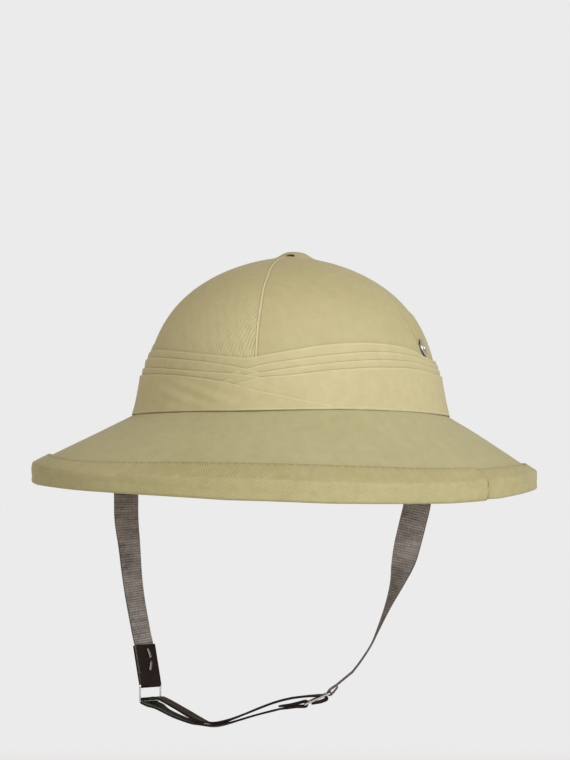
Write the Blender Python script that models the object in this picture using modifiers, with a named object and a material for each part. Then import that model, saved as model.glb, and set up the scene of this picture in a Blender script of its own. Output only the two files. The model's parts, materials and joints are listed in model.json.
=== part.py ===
"""Pith helmet with its chin strap.

Metres, +Z up. The hat's front faces -Y. The origin is the centre of the head opening, level with the line
where crown and brim meet. Bearings are degrees round the crown from +X towards +Y, so the front is -90.
"""
import math

import bmesh
import bpy
import numpy as np
from mathutils import Matrix, Vector

GAP = 0.0003            # what touching pieces keep clear of each other
BEARINGS = 52           # sections round the hat
INNER_ROWS = (0, 2, 4, 6, 8, 10, 11, 12, 14)    # of the form's rows, those that shape the shell inside

# Crown, at the outer face of its cloth
CROWN_HALF_WIDTH = 0.0916
CROWN_HALF_LENGTH = 0.1088
CROWN_RISE = 0.0944
CROWN_SHOULDER = 3.81   # higher is squarer at the shoulder
CROWN_ROUND = 1.72      # higher is flatter on top
CROWN_TAPER = 0.18      # share of the girth lost from foot to top
CROWN_HEIGHTS = (0.0940, 0.0927, 0.0897, 0.0852, 0.0790, 0.0715, 0.0625, 0.0520, 0.0400, 0.0280, 0.0140)
JUNCTION_RISE = 0.0002  # where the crown's and brim's faces meet

# Brim, at the outer face of its cloth. Its edge is an ellipse in plan, pressed low at the front and back
BRIM_HALF_WIDTH = 0.1511
BRIM_HALF_LENGTH = 0.1692
BRIM_SHIFT_X = -0.0034
BRIM_SHIFT_Y = -0.0009
BRIM_DROP = 0.0393
BRIM_WAVES = (
    # times round, cosine part, sine part of the drop
    (1, 0.00214, -0.00032),
    (2, -0.00261, -0.00218),
    (3, -0.00023, -0.00007),
    (4, -0.00100, -0.00073),
)
BRIM_BULGE = 0.0006     # rise of the brim's face above a straight slope
BRIM_SHARES = (0.0, 0.40, 0.81, 1.0)    # rows down the brim, from the junction to the edge

# Layers, from the outside in
BINDING_THICKNESS = 0.0012
COVER_THICKNESS = 0.0010
SHELL_THICKNESS = 0.0050
BINDING_UNDER = 0.0100  # width turned under the brim
COVER_RELIEF = 0.0011   # how far the crown's cloth stops above the junction
BRIM_COVER_START = 0.02     # share of the way down the brim where the brim's cloth starts
BINDING_EDGES = (
    # bearing, share of the way down the brim where the binding's stitched edge lies
    (-180, 0.86),
    (-160, 0.85),
    (-137, 0.88),
    (-113, 0.82),
    (-96, 0.79),
    (-70, 0.79),
    (-53, 0.80),
    (-42, 0.82),
    (-25, 0.86),
    (6, 0.90),
    (30, 0.87),
    (120, 0.86),
)

# Pugree: heights of its top edge and three pleat edges at each bearing, in millimetres
PUGREE_FOLDS = (
    # bearing, top, upper, middle, lower
    (-175, 31.2, 28.2, 24.9, 21.3),
    (-150, 36.0, 31.5, 25.5, 21.0),
    (-122, 33.0, 28.8, 22.6, 19.0),
    (-104, 30.6, 26.0, 20.7, 16.0),
    (-91, 28.9, 22.9, 19.0, 14.0),
    (-78, 32.2, 26.6, 22.2, 18.0),
    (-58, 37.2, 31.0, 26.2, 21.7),
    (-36, 38.4, 33.1, 28.5, 23.8),
    (-5, 31.2, 28.2, 24.9, 21.3),
    (30, 34.2, 29.6, 25.2, 21.0),
    (90, 35.0, 30.0, 25.4, 21.0),
    (135, 34.6, 30.0, 25.4, 21.0),
)
PUGREE_LAYER = 0.00045  # step at each pleat
PUGREE_FOOT = 0.0031    # the band's face stands this far off the crown at its foot
PUGREE_CLEAR = 0.00045  # clear of the crown's cloth
PLEAT_EDGE = 0.0006     # height over which a pleat's edge steps in
FOOT_ROUND = 0.0012     # height of the rounding at the band's foot

# Vent cap and eyelets
CAP_RADIUS = 0.0122
CAP_OFFSET = 0.0024     # its middle from the hat's, towards the right
CAP_TOP = 0.0978
CAP_RIM_FOOT = 0.0938
CAP_RIM_THICKNESS = 0.0005
CAP_FLARE = 1.75        # higher is a flatter dome with a sharper flare
CAP_RECESS = (0.0075, 0.0007)   # radius and height of the hollow under the cap
CAP_STEM_RADIUS = 0.0025
CAP_WASHER_RADIUS = 0.0100
CAP_WASHER_TOP = 0.0858
CAP_WASHER_THICKNESS = 0.0010
EYELET_BEARINGS = {"eyelet_right": -6.0, "eyelet_left": 186.0}
EYELET_HEIGHT = 0.0377
EYELET_RADIUS = 0.0056
EYELET_BORE = 0.0034
EYELET_BARREL = 0.0041
EYELET_ROLL = 0.0009    # height of its rolled rim
EYELET_SEAT = 0.0004    # its rim's seat off the cloth
EYELET_REACH = 0.0070   # its barrel's reach into the wall

# Chin strap
WEBBING_WIDTH = 0.0160
WEBBING_THICKNESS = 0.0010
LEATHER_THICKNESS = 0.0012
STRAP_WIDTH = 0.0150
WIRE = 0.0012
WIRE_CORNER = 0.0010
RING_INNER_WIDTH = 0.0166   # the slide's too
RING_BARS = 0.0096          # between the ring's bars, centre to centre
SLIDE_BARS = 0.0161
SLIDE_SLOPE = math.radians(24.8)

# The strap hangs on a plan arc from the ring to the slide. A place on it is along the arc and height, in mm, and
# the twist that lifts its far edge, in degrees
ARC_START = Vector((-0.0755, -0.0500))
ARC_END = Vector((0.0240, -0.0653))
ARC_TURN = math.radians(39.0)
PLACE_UNITS = (0.001, 0.001, math.radians(1.0))
RING_LOWER_BAR = (0.3, -173.4, 0)
SLIDE_LOWER_BAR = (102.0, -172.9, 0)

# Middle of the leather's thickness, from its lapped end round the slide and the ring to its tail
LAPPED_END = ((87.2, -174.3, -2), (92.0, -173.7, -1), (97.0, -172.7, 0))
LOWER_STRAND = ((96.9, -174.45, 0), (92.0, -175.3, -1), (87.5, -175.95, -2), (80.7, -177.7, -2),
                (72.5, -179.9, 0), (64.5, -182.3, 1.5), (56.1, -184.8, 0.5), (48.8, -186.5, -2.5),
                (44.0, -187.0, -4.5), (39.0, -186.9, -7.5), (34.2, -185.9, -8), (22.8, -182.6, -8.5),
                (10.6, -178.4, -9), (4.5, -176.2, 0))
UPPER_STRAND = ((4.8, -171.7, 0), (10.6, -172.3, -9), (22.8, -177.2, -10), (34.0, -182.2, -9),
                (40.5, -184.5, -7.5), (45.5, -185.0, -4.5), (50.5, -184.5, -2), (55.5, -183.1, 0.5),
                (60.2, -181.5, 2), (68.6, -178.2, 3), (76.7, -174.9, 2), (84.7, -172.0, 0),
                (92.7, -169.9, -1.5), (99.3, -168.9, -2.5), (105.5, -168.3, -2), (110.5, -168.15, 0))
TAIL_FOLD = (113.6, -169.35)    # where the upper strand turns back under the slide
TAIL_RADIUS = 1.2       # in mm
TAIL = ((110.9, -171.7), (105.6, -172.5))

# Webbing from the bend under the brim down: x, y, z in mm, then its width's heading and rise in degrees
WEBBING_LEFT = (
    # x, y, z, heading, rise
    (-89.2, -49.6, -20.0, 24, 20),
    (-90.0, -48.8, -28.0, 28, 9),
    (-90.8, -48.2, -38.0, 36, 1),
    (-90.9, -48.0, -50.1, 40, 0),
    (-90.7, -48.0, -65.1, 42, 0),
    (-88.9, -48.0, -81.3, 51, 0),
    (-87.2, -48.0, -98.7, 58, 0),
    (-85.2, -47.6, -113.7, 61, 0),
    (-81.6, -47.6, -132.8, 62, 0),
)
WEBBING_RIGHT = (
    (89.0, -49.8, -20.5, 157, 20),
    (89.4, -48.9, -28.5, 168, 9),
    (89.0, -48.3, -40.0, 181, 1),
    (87.1, -48.0, -55.4, 187, 0),
    (84.5, -48.2, -66.6, 186, 0),
    (81.7, -49.0, -78.4, 180, 0),
    (79.4, -50.2, -88.9, 164, 0),
    (75.9, -52.2, -101.9, 133, 0),
    (70.8, -54.2, -115.4, 113, 0),
    (65.4, -56.2, -128.8, 104, 0),
    (61.3, -57.4, -138.2, 101, 0),
    (55.6, -58.8, -147.4, 101, 0),
    (50.6, -59.9, -154.1, 101, 0),
)
# Round a bar, in millimetres from its centre: away along the webbing or tab, and square to it
WEBBING_LEAD = ((12.5, 0.30), (9.0, 0.48), (5.2, 0.67), (2.6, 1.15))
WEBBING_LAP = ((2.6, -1.15), (5.2, -0.67))
TAB_SIDE = ((24.0, 1.35), (18.0, 1.35), (8.0, 1.35), (5.0, 1.37))
TAB_THICKNESS = 0.0011
TAB_WIDTH = 0.0160
WEBBING_IN_TAB = (23.0, 17.0, 12.0, 7.0)
SPLIT_RIVET_PLACE = (0.0148, 0.0018)    # above the ring's upper bar, and towards the tab's back edge
SPLIT_RIVET_SHANK = 0.0012
SPLIT_RIVET_HEAD = (0.0032, 0.0011)     # radius, height
SPLIT_RIVET_LEG = (0.0018, 0.0068, 0.0005)      # width, length, thickness

# Where the webbing is held: laid flat against the brim's underside, one rivet up into the shell
FLAT_TURN_Y = -0.0426
FLAT_LENGTH = 0.0230
FLAT_OUTBOARD = 0.0085  # its middle from the crown's wall
FLAT_CLEAR = 0.0007     # off the shell
BEND_RADIUS = 0.0040    # where it turns down
ANCHOR_RADIUS = 0.0040
ANCHOR_HEAD = 0.0010
ANCHOR_SHANK = 0.0014
ANCHOR_REACH = 0.0040   # from the webbing's middle up into the shell

# name: base colour (linear), roughness, metallic
MATERIALS = {
    "pith": ((0.50, 0.42, 0.28), 0.90, 0.0),
    "cotton": ((0.49, 0.43, 0.22), 0.88, 0.0),
    "band_cotton": ((0.55, 0.49, 0.27), 0.85, 0.0),
    "nickel": ((0.62, 0.62, 0.60), 0.28, 1.0),
    "steel": ((0.60, 0.60, 0.60), 0.30, 1.0),
    "webbing": ((0.15, 0.13, 0.115), 0.92, 0.0),
    "leather": ((0.030, 0.018, 0.013), 0.55, 0.0),
}


# ---- Scene, materials and meshes

def clear_scene():
    for item in list(bpy.data.objects):
        bpy.data.objects.remove(item, do_unlink=True)


def new_collection(name):
    collection = bpy.data.collections.new(name)
    bpy.context.scene.collection.children.link(collection)
    return collection


def material(name):
    found = bpy.data.materials.get(name)
    if found:
        return found
    colour, roughness, metallic = MATERIALS[name]
    made = bpy.data.materials.new(name)
    made.use_nodes = True
    shader = made.node_tree.nodes["Principled BSDF"]
    shader.inputs["Base Color"].default_value = (*colour, 1.0)
    shader.inputs["Roughness"].default_value = roughness
    shader.inputs["Metallic"].default_value = metallic
    return made


def add_object(name, mesh, material_name, collection):
    made = bpy.data.objects.new(name, mesh)
    mesh.materials.clear()
    mesh.materials.append(material(material_name))
    mesh.shade_smooth()
    mesh.set_sharp_from_angle(angle=math.radians(35))
    collection.objects.link(made)
    return made


def mesh_from(bm, name):
    bmesh.ops.recalc_face_normals(bm, faces=bm.faces)
    mesh = bpy.data.meshes.new(name)
    bm.to_mesh(mesh)
    bm.free()
    return mesh


def loft(name, sections, closed_round, flip_from):
    """Mesh through sections (n, m, 3) of m points each: a tube that closes on itself, or has capped ends.

    From the point flip_from on, the triangles' diagonals turn, so that both faces of a wall fold alike.
    """
    bm = bmesh.new()
    rings = [[bm.verts.new(point) for point in section] for section in sections]
    pairs = list(zip(rings, rings[1:]))
    if closed_round:
        pairs.append((rings[-1], rings[0]))
    for near, far in pairs:
        for i in range(len(near)):
            j = (i + 1) % len(near)
            if i < flip_from:
                triangles = ((near[i], near[j], far[j]), (near[i], far[j], far[i]))
            else:
                triangles = ((near[i], near[j], far[i]), (near[j], far[j], far[i]))
            for triangle in triangles:
                bm.faces.new(triangle)
    if not closed_round:
        bm.faces.new(rings[0])
        bm.faces.new(rings[-1])
    return mesh_from(bm, name)


def turned(name, profile, material_name, collection, steps=20):
    """Turned piece from a closed (radius, height) profile, by a Screw modifier about Z."""
    bm = bmesh.new()
    verts = [bm.verts.new((radius, 0.0, height)) for radius, height in profile]
    for first, second in zip(verts, verts[1:]):
        bm.edges.new((first, second))
    if profile[0][0] > 0.0 or profile[-1][0] > 0.0:
        bm.edges.new((verts[-1], verts[0]))
    mesh = bpy.data.meshes.new(name)
    bm.to_mesh(mesh)
    bm.free()
    made = bpy.data.objects.new(name, mesh)
    mesh.materials.append(material(material_name))
    collection.objects.link(made)
    screw = made.modifiers.new("turn", "SCREW")
    screw.steps = steps
    screw.render_steps = steps
    screw.use_merge_vertices = True
    screw.merge_threshold = 0.00001
    screw.use_smooth_shade = True
    return made


def boolean(target, cutter, operation):
    cut = target.modifiers.new(operation.lower() + "_" + cutter.name, "BOOLEAN")
    cut.operation = operation
    cut.object = cutter
    cutter.display_type = "WIRE"
    cutter.hide_render = True


def cut_hole(pin, radius, reach, walls, cutters):
    """Round hole about a pin's axis, from low to high along it, through each of the walls."""
    low, high = reach
    name = pin.name + "_hole"
    bm = bmesh.new()
    bmesh.ops.create_cone(bm, cap_ends=True, segments=16, radius1=radius, radius2=radius, depth=high - low)
    bmesh.ops.translate(bm, verts=bm.verts, vec=(0.0, 0.0, (low + high) / 2))
    hole = bpy.data.objects.new(name, mesh_from(bm, name))
    cutters.objects.link(hole)
    hole.matrix_world = pin.matrix_world
    for wall in walls:
        boolean(wall, hole, "DIFFERENCE")


# ---- The hat's form

def crown_girth(height):
    share = height / CROWN_RISE
    return (1.0 - share ** CROWN_SHOULDER) ** (1.0 / CROWN_ROUND) * (1.0 - CROWN_TAPER * share)


def crown_point(bearing, height):
    girth = crown_girth(height)
    return np.array((CROWN_HALF_WIDTH * girth * math.cos(bearing),
                     CROWN_HALF_LENGTH * girth * math.sin(bearing), height))


def brim_edge(bearing):
    drop = BRIM_DROP + sum(cosine * math.cos(times * bearing) + sine * math.sin(times * bearing)
                           for times, cosine, sine in BRIM_WAVES)
    return np.array((BRIM_SHIFT_X + BRIM_HALF_WIDTH * math.cos(bearing),
                     BRIM_SHIFT_Y + BRIM_HALF_LENGTH * math.sin(bearing), -drop))


def brim_point(bearing, share):
    point = crown_point(bearing, JUNCTION_RISE) * (1.0 - share) + brim_edge(bearing) * share
    point[2] += BRIM_BULGE * math.sin(math.pi * share)
    return point


def table_at(table, bearing):
    """Columns of a table of bearings, in degrees, between its rows and round past its last row."""
    rows = np.array(table, dtype=float)
    degrees = (math.degrees(bearing) + 180.0) % 360.0 - 180.0
    stations = np.append(rows[:, 0], 180.0)
    return [np.interp(degrees, stations, np.append(column, column[0])) for column in rows[:, 1:].T]


def unit(vectors):
    return vectors / np.linalg.norm(vectors, axis=-1, keepdims=True)


def lift(rows, distance, upright_end=False):
    """Rows moved off their face, outward if positive, mitred at its bends.

    The last row moves square to the face, or straight up and down to keep an upright edge.
    """
    around = unit(np.roll(rows, -1, axis=1) - np.roll(rows, 1, axis=1))
    steps = unit(np.diff(rows, axis=0))
    normal_before = unit(np.cross(np.concatenate((steps[:1], steps)), around))
    normal_after = unit(np.cross(np.concatenate((steps, steps[-1:])), around))
    normal = unit(normal_before + normal_after)
    moved = rows + normal * distance / np.sum(normal * normal_before, axis=-1, keepdims=True)
    if upright_end:
        moved[-1] = rows[-1] + distance / normal[-1, :, 2:] * (0.0, 0.0, 1.0)
    return moved


def ring_wall(name, outer, inner, material_name, collection):
    """Wall between outer rows and inner rows, swept round the hat."""
    section_rows = np.concatenate((outer, inner[::-1]))
    mesh = loft(name, np.swapaxes(section_rows, 0, 1), closed_round=True, flip_from=len(outer))
    return add_object(name, mesh, material_name, collection)


BEARING_LIST = [2.0 * math.pi * i / BEARINGS for i in range(BEARINGS)]
CROWN_ROWS = np.array([[crown_point(b, height) for b in BEARING_LIST] for height in CROWN_HEIGHTS])
BRIM_ROWS = np.array([[brim_point(b, share) for b in BEARING_LIST] for share in BRIM_SHARES])
FORM = np.concatenate((CROWN_ROWS, BRIM_ROWS))  # the cloth's outer face, from vent hole to brim edge
JUNCTION = len(CROWN_HEIGHTS)                   # the junction's row in it


# ---- Hat pieces

def make_shell(collection):
    outer_depth = COVER_THICKNESS + GAP
    outer = lift(FORM, -outer_depth, upright_end=True)
    inner = lift(FORM, -outer_depth - SHELL_THICKNESS, upright_end=True)[list(INNER_ROWS)]
    return ring_wall("shell", outer, inner, "pith", collection)


def make_crown_cover(collection):
    outer = FORM[:JUNCTION + 1].copy()
    outer[-1] += unit(outer[-2] - outer[-1]) * COVER_RELIEF
    return ring_wall("crown_cover", outer, lift(outer, -COVER_THICKNESS), "cotton", collection)


def make_brim_cover(collection):
    outer = BRIM_ROWS.copy()
    outer[0] += (outer[1] - outer[0]) * BRIM_COVER_START / BRIM_SHARES[1]
    inner = lift(outer, -COVER_THICKNESS, upright_end=True)
    return ring_wall("brim_cover", outer, inner, "cotton", collection)


def make_edge_binding(collection):
    start = np.array([brim_point(b, table_at(BINDING_EDGES, b)[0]) for b in BEARING_LIST])
    edge = FORM[-1]
    foot = lift(FORM, -(COVER_THICKNESS + GAP + SHELL_THICKNESS), upright_end=True)[-1]
    under = foot + unit(FORM[-2] - FORM[-1]) * BINDING_UNDER
    wrapped = np.array((start, edge, foot, under))
    outer, inner = lift(wrapped, GAP + BINDING_THICKNESS), lift(wrapped, GAP)
    return ring_wall("edge_binding", outer, inner, "cotton", collection)


def band_row(heights, outward):
    """Row at the given heights on the crown's face lifted outward."""
    lifted = lift(FORM, outward)[JUNCTION::-1]
    return np.array([[np.interp(height, lifted[:, i, 2], lifted[:, i, axis]) for axis in range(3)]
                     for i, height in enumerate(heights)])


def make_pugree(collection):
    top, upper, middle, lower = np.array([table_at(PUGREE_FOLDS, b) for b in BEARING_LIST]).T / 1000.0
    faces = [PUGREE_FOOT - PUGREE_LAYER * k for k in range(4)]
    inner_rows = lift(FORM, PUGREE_CLEAR)
    corner = inner_rows[JUNCTION]
    slope = unit(inner_rows[JUNCTION + 1] - corner)
    foot = corner + slope * (PUGREE_FOOT - PUGREE_CLEAR)
    outer = [band_row(top, (faces[3] + PUGREE_CLEAR) / 2)]
    outer.append(band_row(top - PLEAT_EDGE, faces[3]))
    for heights, above, below in ((upper, faces[3], faces[2]), (middle, faces[2], faces[1]),
                                  (lower, faces[1], faces[0])):
        outer.append(band_row(heights, above))
        outer.append(band_row(heights - PLEAT_EDGE, below))
    outer.append(band_row(foot[:, 2] + FOOT_ROUND, faces[0]))
    outer.append(foot - slope * FOOT_ROUND / 4)
    inner = [band_row(top, PUGREE_CLEAR), *inner_rows[JUNCTION - 2:JUNCTION + 1]]
    return ring_wall("pugree", np.array(outer), np.array(inner), "band_cotton", collection)


def make_vent_cap(collection):
    rim_top = CAP_RIM_FOOT + CAP_RIM_THICKNESS
    shares = [i / 6 for i in range(7)]
    profile = [(CAP_RADIUS * share,
                rim_top + (CAP_TOP - rim_top) * (1.0 + math.cos(math.pi * share ** CAP_FLARE)) / 2)
               for share in shares]
    recess_radius, recess_height = CAP_RECESS
    washer_foot = CAP_WASHER_TOP - CAP_WASHER_THICKNESS
    profile += [(CAP_RADIUS, CAP_RIM_FOOT), (recess_radius, CAP_RIM_FOOT + recess_height),
                (CAP_STEM_RADIUS, CAP_RIM_FOOT + recess_height), (CAP_STEM_RADIUS, CAP_WASHER_TOP),
                (CAP_WASHER_RADIUS, CAP_WASHER_TOP), (CAP_WASHER_RADIUS, washer_foot), (0.0, washer_foot)]
    cap = turned("vent_cap", profile, "cotton", collection, steps=24)
    cap.location.x = CAP_OFFSET


def wall_frame(bearing, height):
    """Matrix whose Z is the wall's outward normal at a bearing and height, X level along the wall."""
    step = 0.001
    point = crown_point(bearing, height)
    up = crown_point(bearing, height + step) - point
    level = crown_point(bearing + 0.01, height) - point
    outward = Vector(np.cross(level, up)).normalized()
    level = Vector(level).normalized()
    rise = outward.cross(level)
    frame = Matrix((level, rise, outward)).transposed().to_4x4()
    frame.translation = Vector(point)
    return frame


def make_eyelet(name, bearing, collection, cutters, walls):
    roll_middle = (EYELET_BORE + EYELET_RADIUS) / 2
    profile = ((EYELET_BORE, EYELET_SEAT + EYELET_ROLL * 0.5), (roll_middle, EYELET_SEAT + EYELET_ROLL),
               (EYELET_RADIUS, EYELET_SEAT + EYELET_ROLL * 0.5), (EYELET_RADIUS, EYELET_SEAT),
               (EYELET_BARREL, EYELET_SEAT), (EYELET_BARREL, -EYELET_REACH), (EYELET_BORE, -EYELET_REACH))
    eyelet = turned(name, profile, "nickel", collection, steps=16)
    eyelet.matrix_world = wall_frame(math.radians(bearing), EYELET_HEIGHT)
    cut_hole(eyelet, EYELET_BARREL + GAP, (-0.012, 0.004), walls, cutters)


# ---- Straps

def smooth_rows(rows, steps):
    """Catmull-Rom curve through the rows of a table, steps points to each span."""
    table = np.array(rows, dtype=float)
    padded = np.concatenate((2 * table[:1] - table[1:2], table, 2 * table[-1:] - table[-2:-1]))
    points = []
    for a, b, c, d in zip(padded, padded[1:], padded[2:], padded[3:]):
        for t in np.arange(steps) / steps:
            points.append(b + ((c - a) * t + (2 * a - 5 * b + 4 * c - d) * t ** 2
                               + (3 * b - a - 3 * c + d) * t ** 3) / 2)
    points.append(table[-1])
    return np.array(points)


def ribbon(name, middle, ways, width, thickness, material_name, collection):
    """Flat strap along the middle points, its width lying along ways, made square to the run."""
    runs = unit(np.gradient(middle, axis=0))
    ways = unit(ways - runs * np.sum(ways * runs, axis=-1, keepdims=True))
    faces = np.cross(runs, ways) * thickness / 2
    edges = ways * width / 2
    sections = np.stack((middle + edges + faces, middle - edges + faces, middle - edges - faces,
                         middle + edges - faces), axis=1)
    return add_object(name, loft(name, sections, closed_round=False, flip_from=2), material_name, collection)


def arc_frame(place):
    """World point of a place on the strap's plan arc, and its width direction there."""
    along, height, twist = np.asarray(place) * PLACE_UNITS
    chord = ARC_END - ARC_START
    radius = chord.length / 2 / math.sin(ARC_TURN / 2)
    first = math.atan2(chord.y, chord.x) - ARC_TURN / 2
    heading = first + along / radius
    point = np.array((ARC_START.x + radius * (math.sin(heading) - math.sin(first)),
                      ARC_START.y - radius * (math.cos(heading) - math.cos(first)), height))
    level = math.cos(twist)
    return point, np.array((-math.sin(heading) * level, math.cos(heading) * level, math.sin(twist)))


def ring_frame():
    """Middle of the ring's lower bar, its width direction and the direction to its upper bar."""
    point, way = arc_frame(RING_LOWER_BAR)
    return point, way, np.array((0.0, 0.0, 1.0))


def slide_frame():
    point, way = arc_frame(SLIDE_LOWER_BAR)
    level = np.array((way[1], -way[0], 0.0))
    return point, way, level * math.cos(SLIDE_SLOPE) + np.array((0.0, 0.0, math.sin(SLIDE_SLOPE)))


def wire_loop(name, frame, bars, collection):
    """Rectangular loop of wire with round corners, from its lower bar to its upper one."""
    origin, way, rise = frame
    half = (RING_INNER_WIDTH + WIRE) / 2
    outline = []
    for turn, (x, y) in enumerate(((half, bars), (-half, bars), (-half, 0.0), (half, 0.0))):
        centre_x = math.copysign(half - WIRE_CORNER, x)
        centre_y = bars - WIRE_CORNER if y else WIRE_CORNER
        for angle in np.radians((0, 45, 90)) + turn * math.pi / 2:
            outline.append((centre_x + WIRE_CORNER * math.cos(angle),
                            centre_y + WIRE_CORNER * math.sin(angle)))
    curve = bpy.data.curves.new(name, "CURVE")
    curve.dimensions = "3D"
    curve.bevel_depth = WIRE / 2
    curve.bevel_resolution = 2
    spline = curve.splines.new("POLY")
    spline.points.add(len(outline) - 1)
    for point, (x, y) in zip(spline.points, outline):
        point.co = (*(origin + way * x + rise * y), 1.0)
    spline.use_cyclic_u = True
    curve.materials.append(material("steel"))
    collection.objects.link(bpy.data.objects.new(name, curve))


def bend(centre, radius, first_degrees, sweep_degrees, steps=6):
    angles = np.radians(first_degrees + sweep_degrees * np.arange(steps + 1) / steps)
    return np.asarray(centre) + radius * np.stack((np.cos(angles), np.sin(angles)), axis=1)


def untwisted(places):
    return np.pad(places, ((0, 0), (0, 1)))


def make_chin_strap(collection):
    wrap = ((WIRE + LEATHER_THICKNESS) / 2 + GAP) * 1000.0
    rows = np.concatenate((
        LAPPED_END,
        untwisted(bend(SLIDE_LOWER_BAR[:2], wrap, 100, -195)),
        smooth_rows(LOWER_STRAND, 2),
        untwisted(bend(RING_LOWER_BAR[:2], wrap, -100, -180)),
        smooth_rows(UPPER_STRAND, 2),
        untwisted(bend(TAIL_FOLD, TAIL_RADIUS, 90, -155)),
        untwisted(TAIL),
    ))
    middle, ways = np.swapaxes([arc_frame(row) for row in rows], 0, 1)
    return ribbon("chin_strap", middle, ways, STRAP_WIDTH, LEATHER_THICKNESS, "leather", collection)


def bar_frame(loop_frame, bars, target):
    """Axes round a loop's upper bar: its centre, the run away to a target, its width, and square to both."""
    origin, way, rise = loop_frame
    bar = origin + rise * bars
    run = target - bar
    run = unit(run - way * np.dot(run, way))
    return bar, run, way, np.cross(run, way)


def round_bar(frame, places):
    """World points of places away from a bar along its run and square to it."""
    bar, run, way, square = frame
    away, aside = np.asarray(places).T[:, :, None]
    return bar + run * away + square * aside


def make_tab(frame, collection):
    wrap = (WIRE + TAB_THICKNESS) / 2 + GAP
    side = np.array(TAB_SIDE) / 1000.0
    places = np.concatenate((side, bend((0.0, 0.0), wrap, 60, 240, steps=8), (side * (1.0, -1.0))[::-1]))
    middle = round_bar(frame, places)
    ways = np.tile(frame[2], (len(middle), 1))
    return ribbon("strap_tab", middle, ways, TAB_WIDTH, TAB_THICKNESS, "leather", collection)


def make_split_rivet(frame, collection, cutters, pierced):
    bar, run, way, square = frame
    up, aside = SPLIT_RIVET_PLACE
    head_radius, head_height = SPLIT_RIVET_HEAD
    leg_width, leg_length, leg_thickness = SPLIT_RIVET_LEG
    seat = TAB_SIDE[0][1] / 1000.0 + TAB_THICKNESS / 2 + GAP
    foot = -seat - leg_thickness
    profile = ((0.0, seat + head_height), (head_radius * 0.6, seat + head_height * 0.8),
               (head_radius, seat + GAP), (head_radius, seat), (SPLIT_RIVET_SHANK, seat),
               (SPLIT_RIVET_SHANK, foot), (0.0, foot))
    rivet = turned("split_rivet", profile, "steel", collection, steps=12)
    placed = Matrix((Vector(-way), Vector(run), Vector(square))).transposed().to_4x4()
    placed.translation = Vector(bar + run * up + way * aside)
    rivet.matrix_world = placed
    bm = bmesh.new()
    bmesh.ops.create_cube(bm, size=1.0)
    bmesh.ops.scale(bm, verts=bm.verts, vec=(leg_width, leg_length * 2.0, leg_thickness))
    bmesh.ops.translate(bm, verts=bm.verts, vec=(0.0, 0.0, -seat - leg_thickness / 2))
    legs = bpy.data.objects.new("split_rivet_legs", mesh_from(bm, "split_rivet_legs"))
    cutters.objects.link(legs)
    legs.matrix_world = placed
    boolean(rivet, legs, "UNION")
    cut_hole(rivet, SPLIT_RIVET_SHANK + GAP, (-0.006, 0.006), pierced, cutters)


def under_brim(y, side):
    """Point on the shell's underside just outboard of the wall at y, the slope outward and the normal up."""
    bearing = math.atan2(y / CROWN_HALF_LENGTH, side * math.sqrt(1.0 - (y / CROWN_HALF_LENGTH) ** 2))
    wall, out = (brim_point(bearing, share) for share in BRIM_SHARES[:2])
    slope = unit(out - wall)
    level = side * (crown_point(bearing + 0.01, 0.0) - crown_point(bearing - 0.01, 0.0))
    normal = unit(np.cross(slope, level)) * side
    return wall + slope * FLAT_OUTBOARD - normal * (COVER_THICKNESS + GAP + SHELL_THICKNESS), slope, normal


def make_webbing(name, side, table, tail, tail_way, collection):
    """Webbing from its flat end under the brim, round a bend and down its table's rows to its tail."""
    flat, flat_ways = [], []
    for share in (1.0, 0.75, 0.5, 0.25, 0.0):
        point, slope, normal = under_brim(FLAT_TURN_Y + FLAT_LENGTH * share, side)
        flat.append(point - normal * (FLAT_CLEAR + WEBBING_THICKNESS / 2))
        flat_ways.append(-slope)
    hanging = smooth_rows(table, 2)
    heading, rise = np.radians(hanging[:, 3:]).T
    hanging_ways = np.stack((np.cos(heading) * np.cos(rise), np.sin(heading) * np.cos(rise), np.sin(rise)),
                            axis=1)
    onward = side * unit(np.cross(normal, slope))
    turn = [flat[-1] + BEND_RADIUS * (onward * math.sin(angle) - normal * (1.0 - math.cos(angle)))
            for angle in np.radians((30.0, 60.0, 90.0))]
    middle = np.concatenate((flat, turn, hanging[:, :3] / 1000.0, tail))
    ways = np.concatenate((flat_ways, [-slope] * len(turn), hanging_ways, [tail_way] * len(tail)))
    return ribbon(name, middle, ways, WEBBING_WIDTH, WEBBING_THICKNESS, "webbing", collection)


def make_anchor(name, side, collection, cutters, pierced):
    point, slope, normal = under_brim(FLAT_TURN_Y + FLAT_LENGTH / 2, side)
    seat = -WEBBING_THICKNESS / 2 - GAP
    profile = ((0.0, ANCHOR_REACH), (ANCHOR_SHANK, ANCHOR_REACH), (ANCHOR_SHANK, seat), (ANCHOR_RADIUS, seat),
               (ANCHOR_RADIUS * 0.85, seat - ANCHOR_HEAD), (0.0, seat - ANCHOR_HEAD))
    anchor = turned(name, profile, "steel", collection, steps=12)
    placed = Vector((0.0, 0.0, 1.0)).rotation_difference(Vector(normal)).to_matrix().to_4x4()
    placed.translation = Vector(point - normal * (FLAT_CLEAR + WEBBING_THICKNESS / 2))
    anchor.matrix_world = placed
    cut_hole(anchor, ANCHOR_SHANK + GAP, (-0.003, ANCHOR_REACH + GAP), pierced, cutters)


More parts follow.
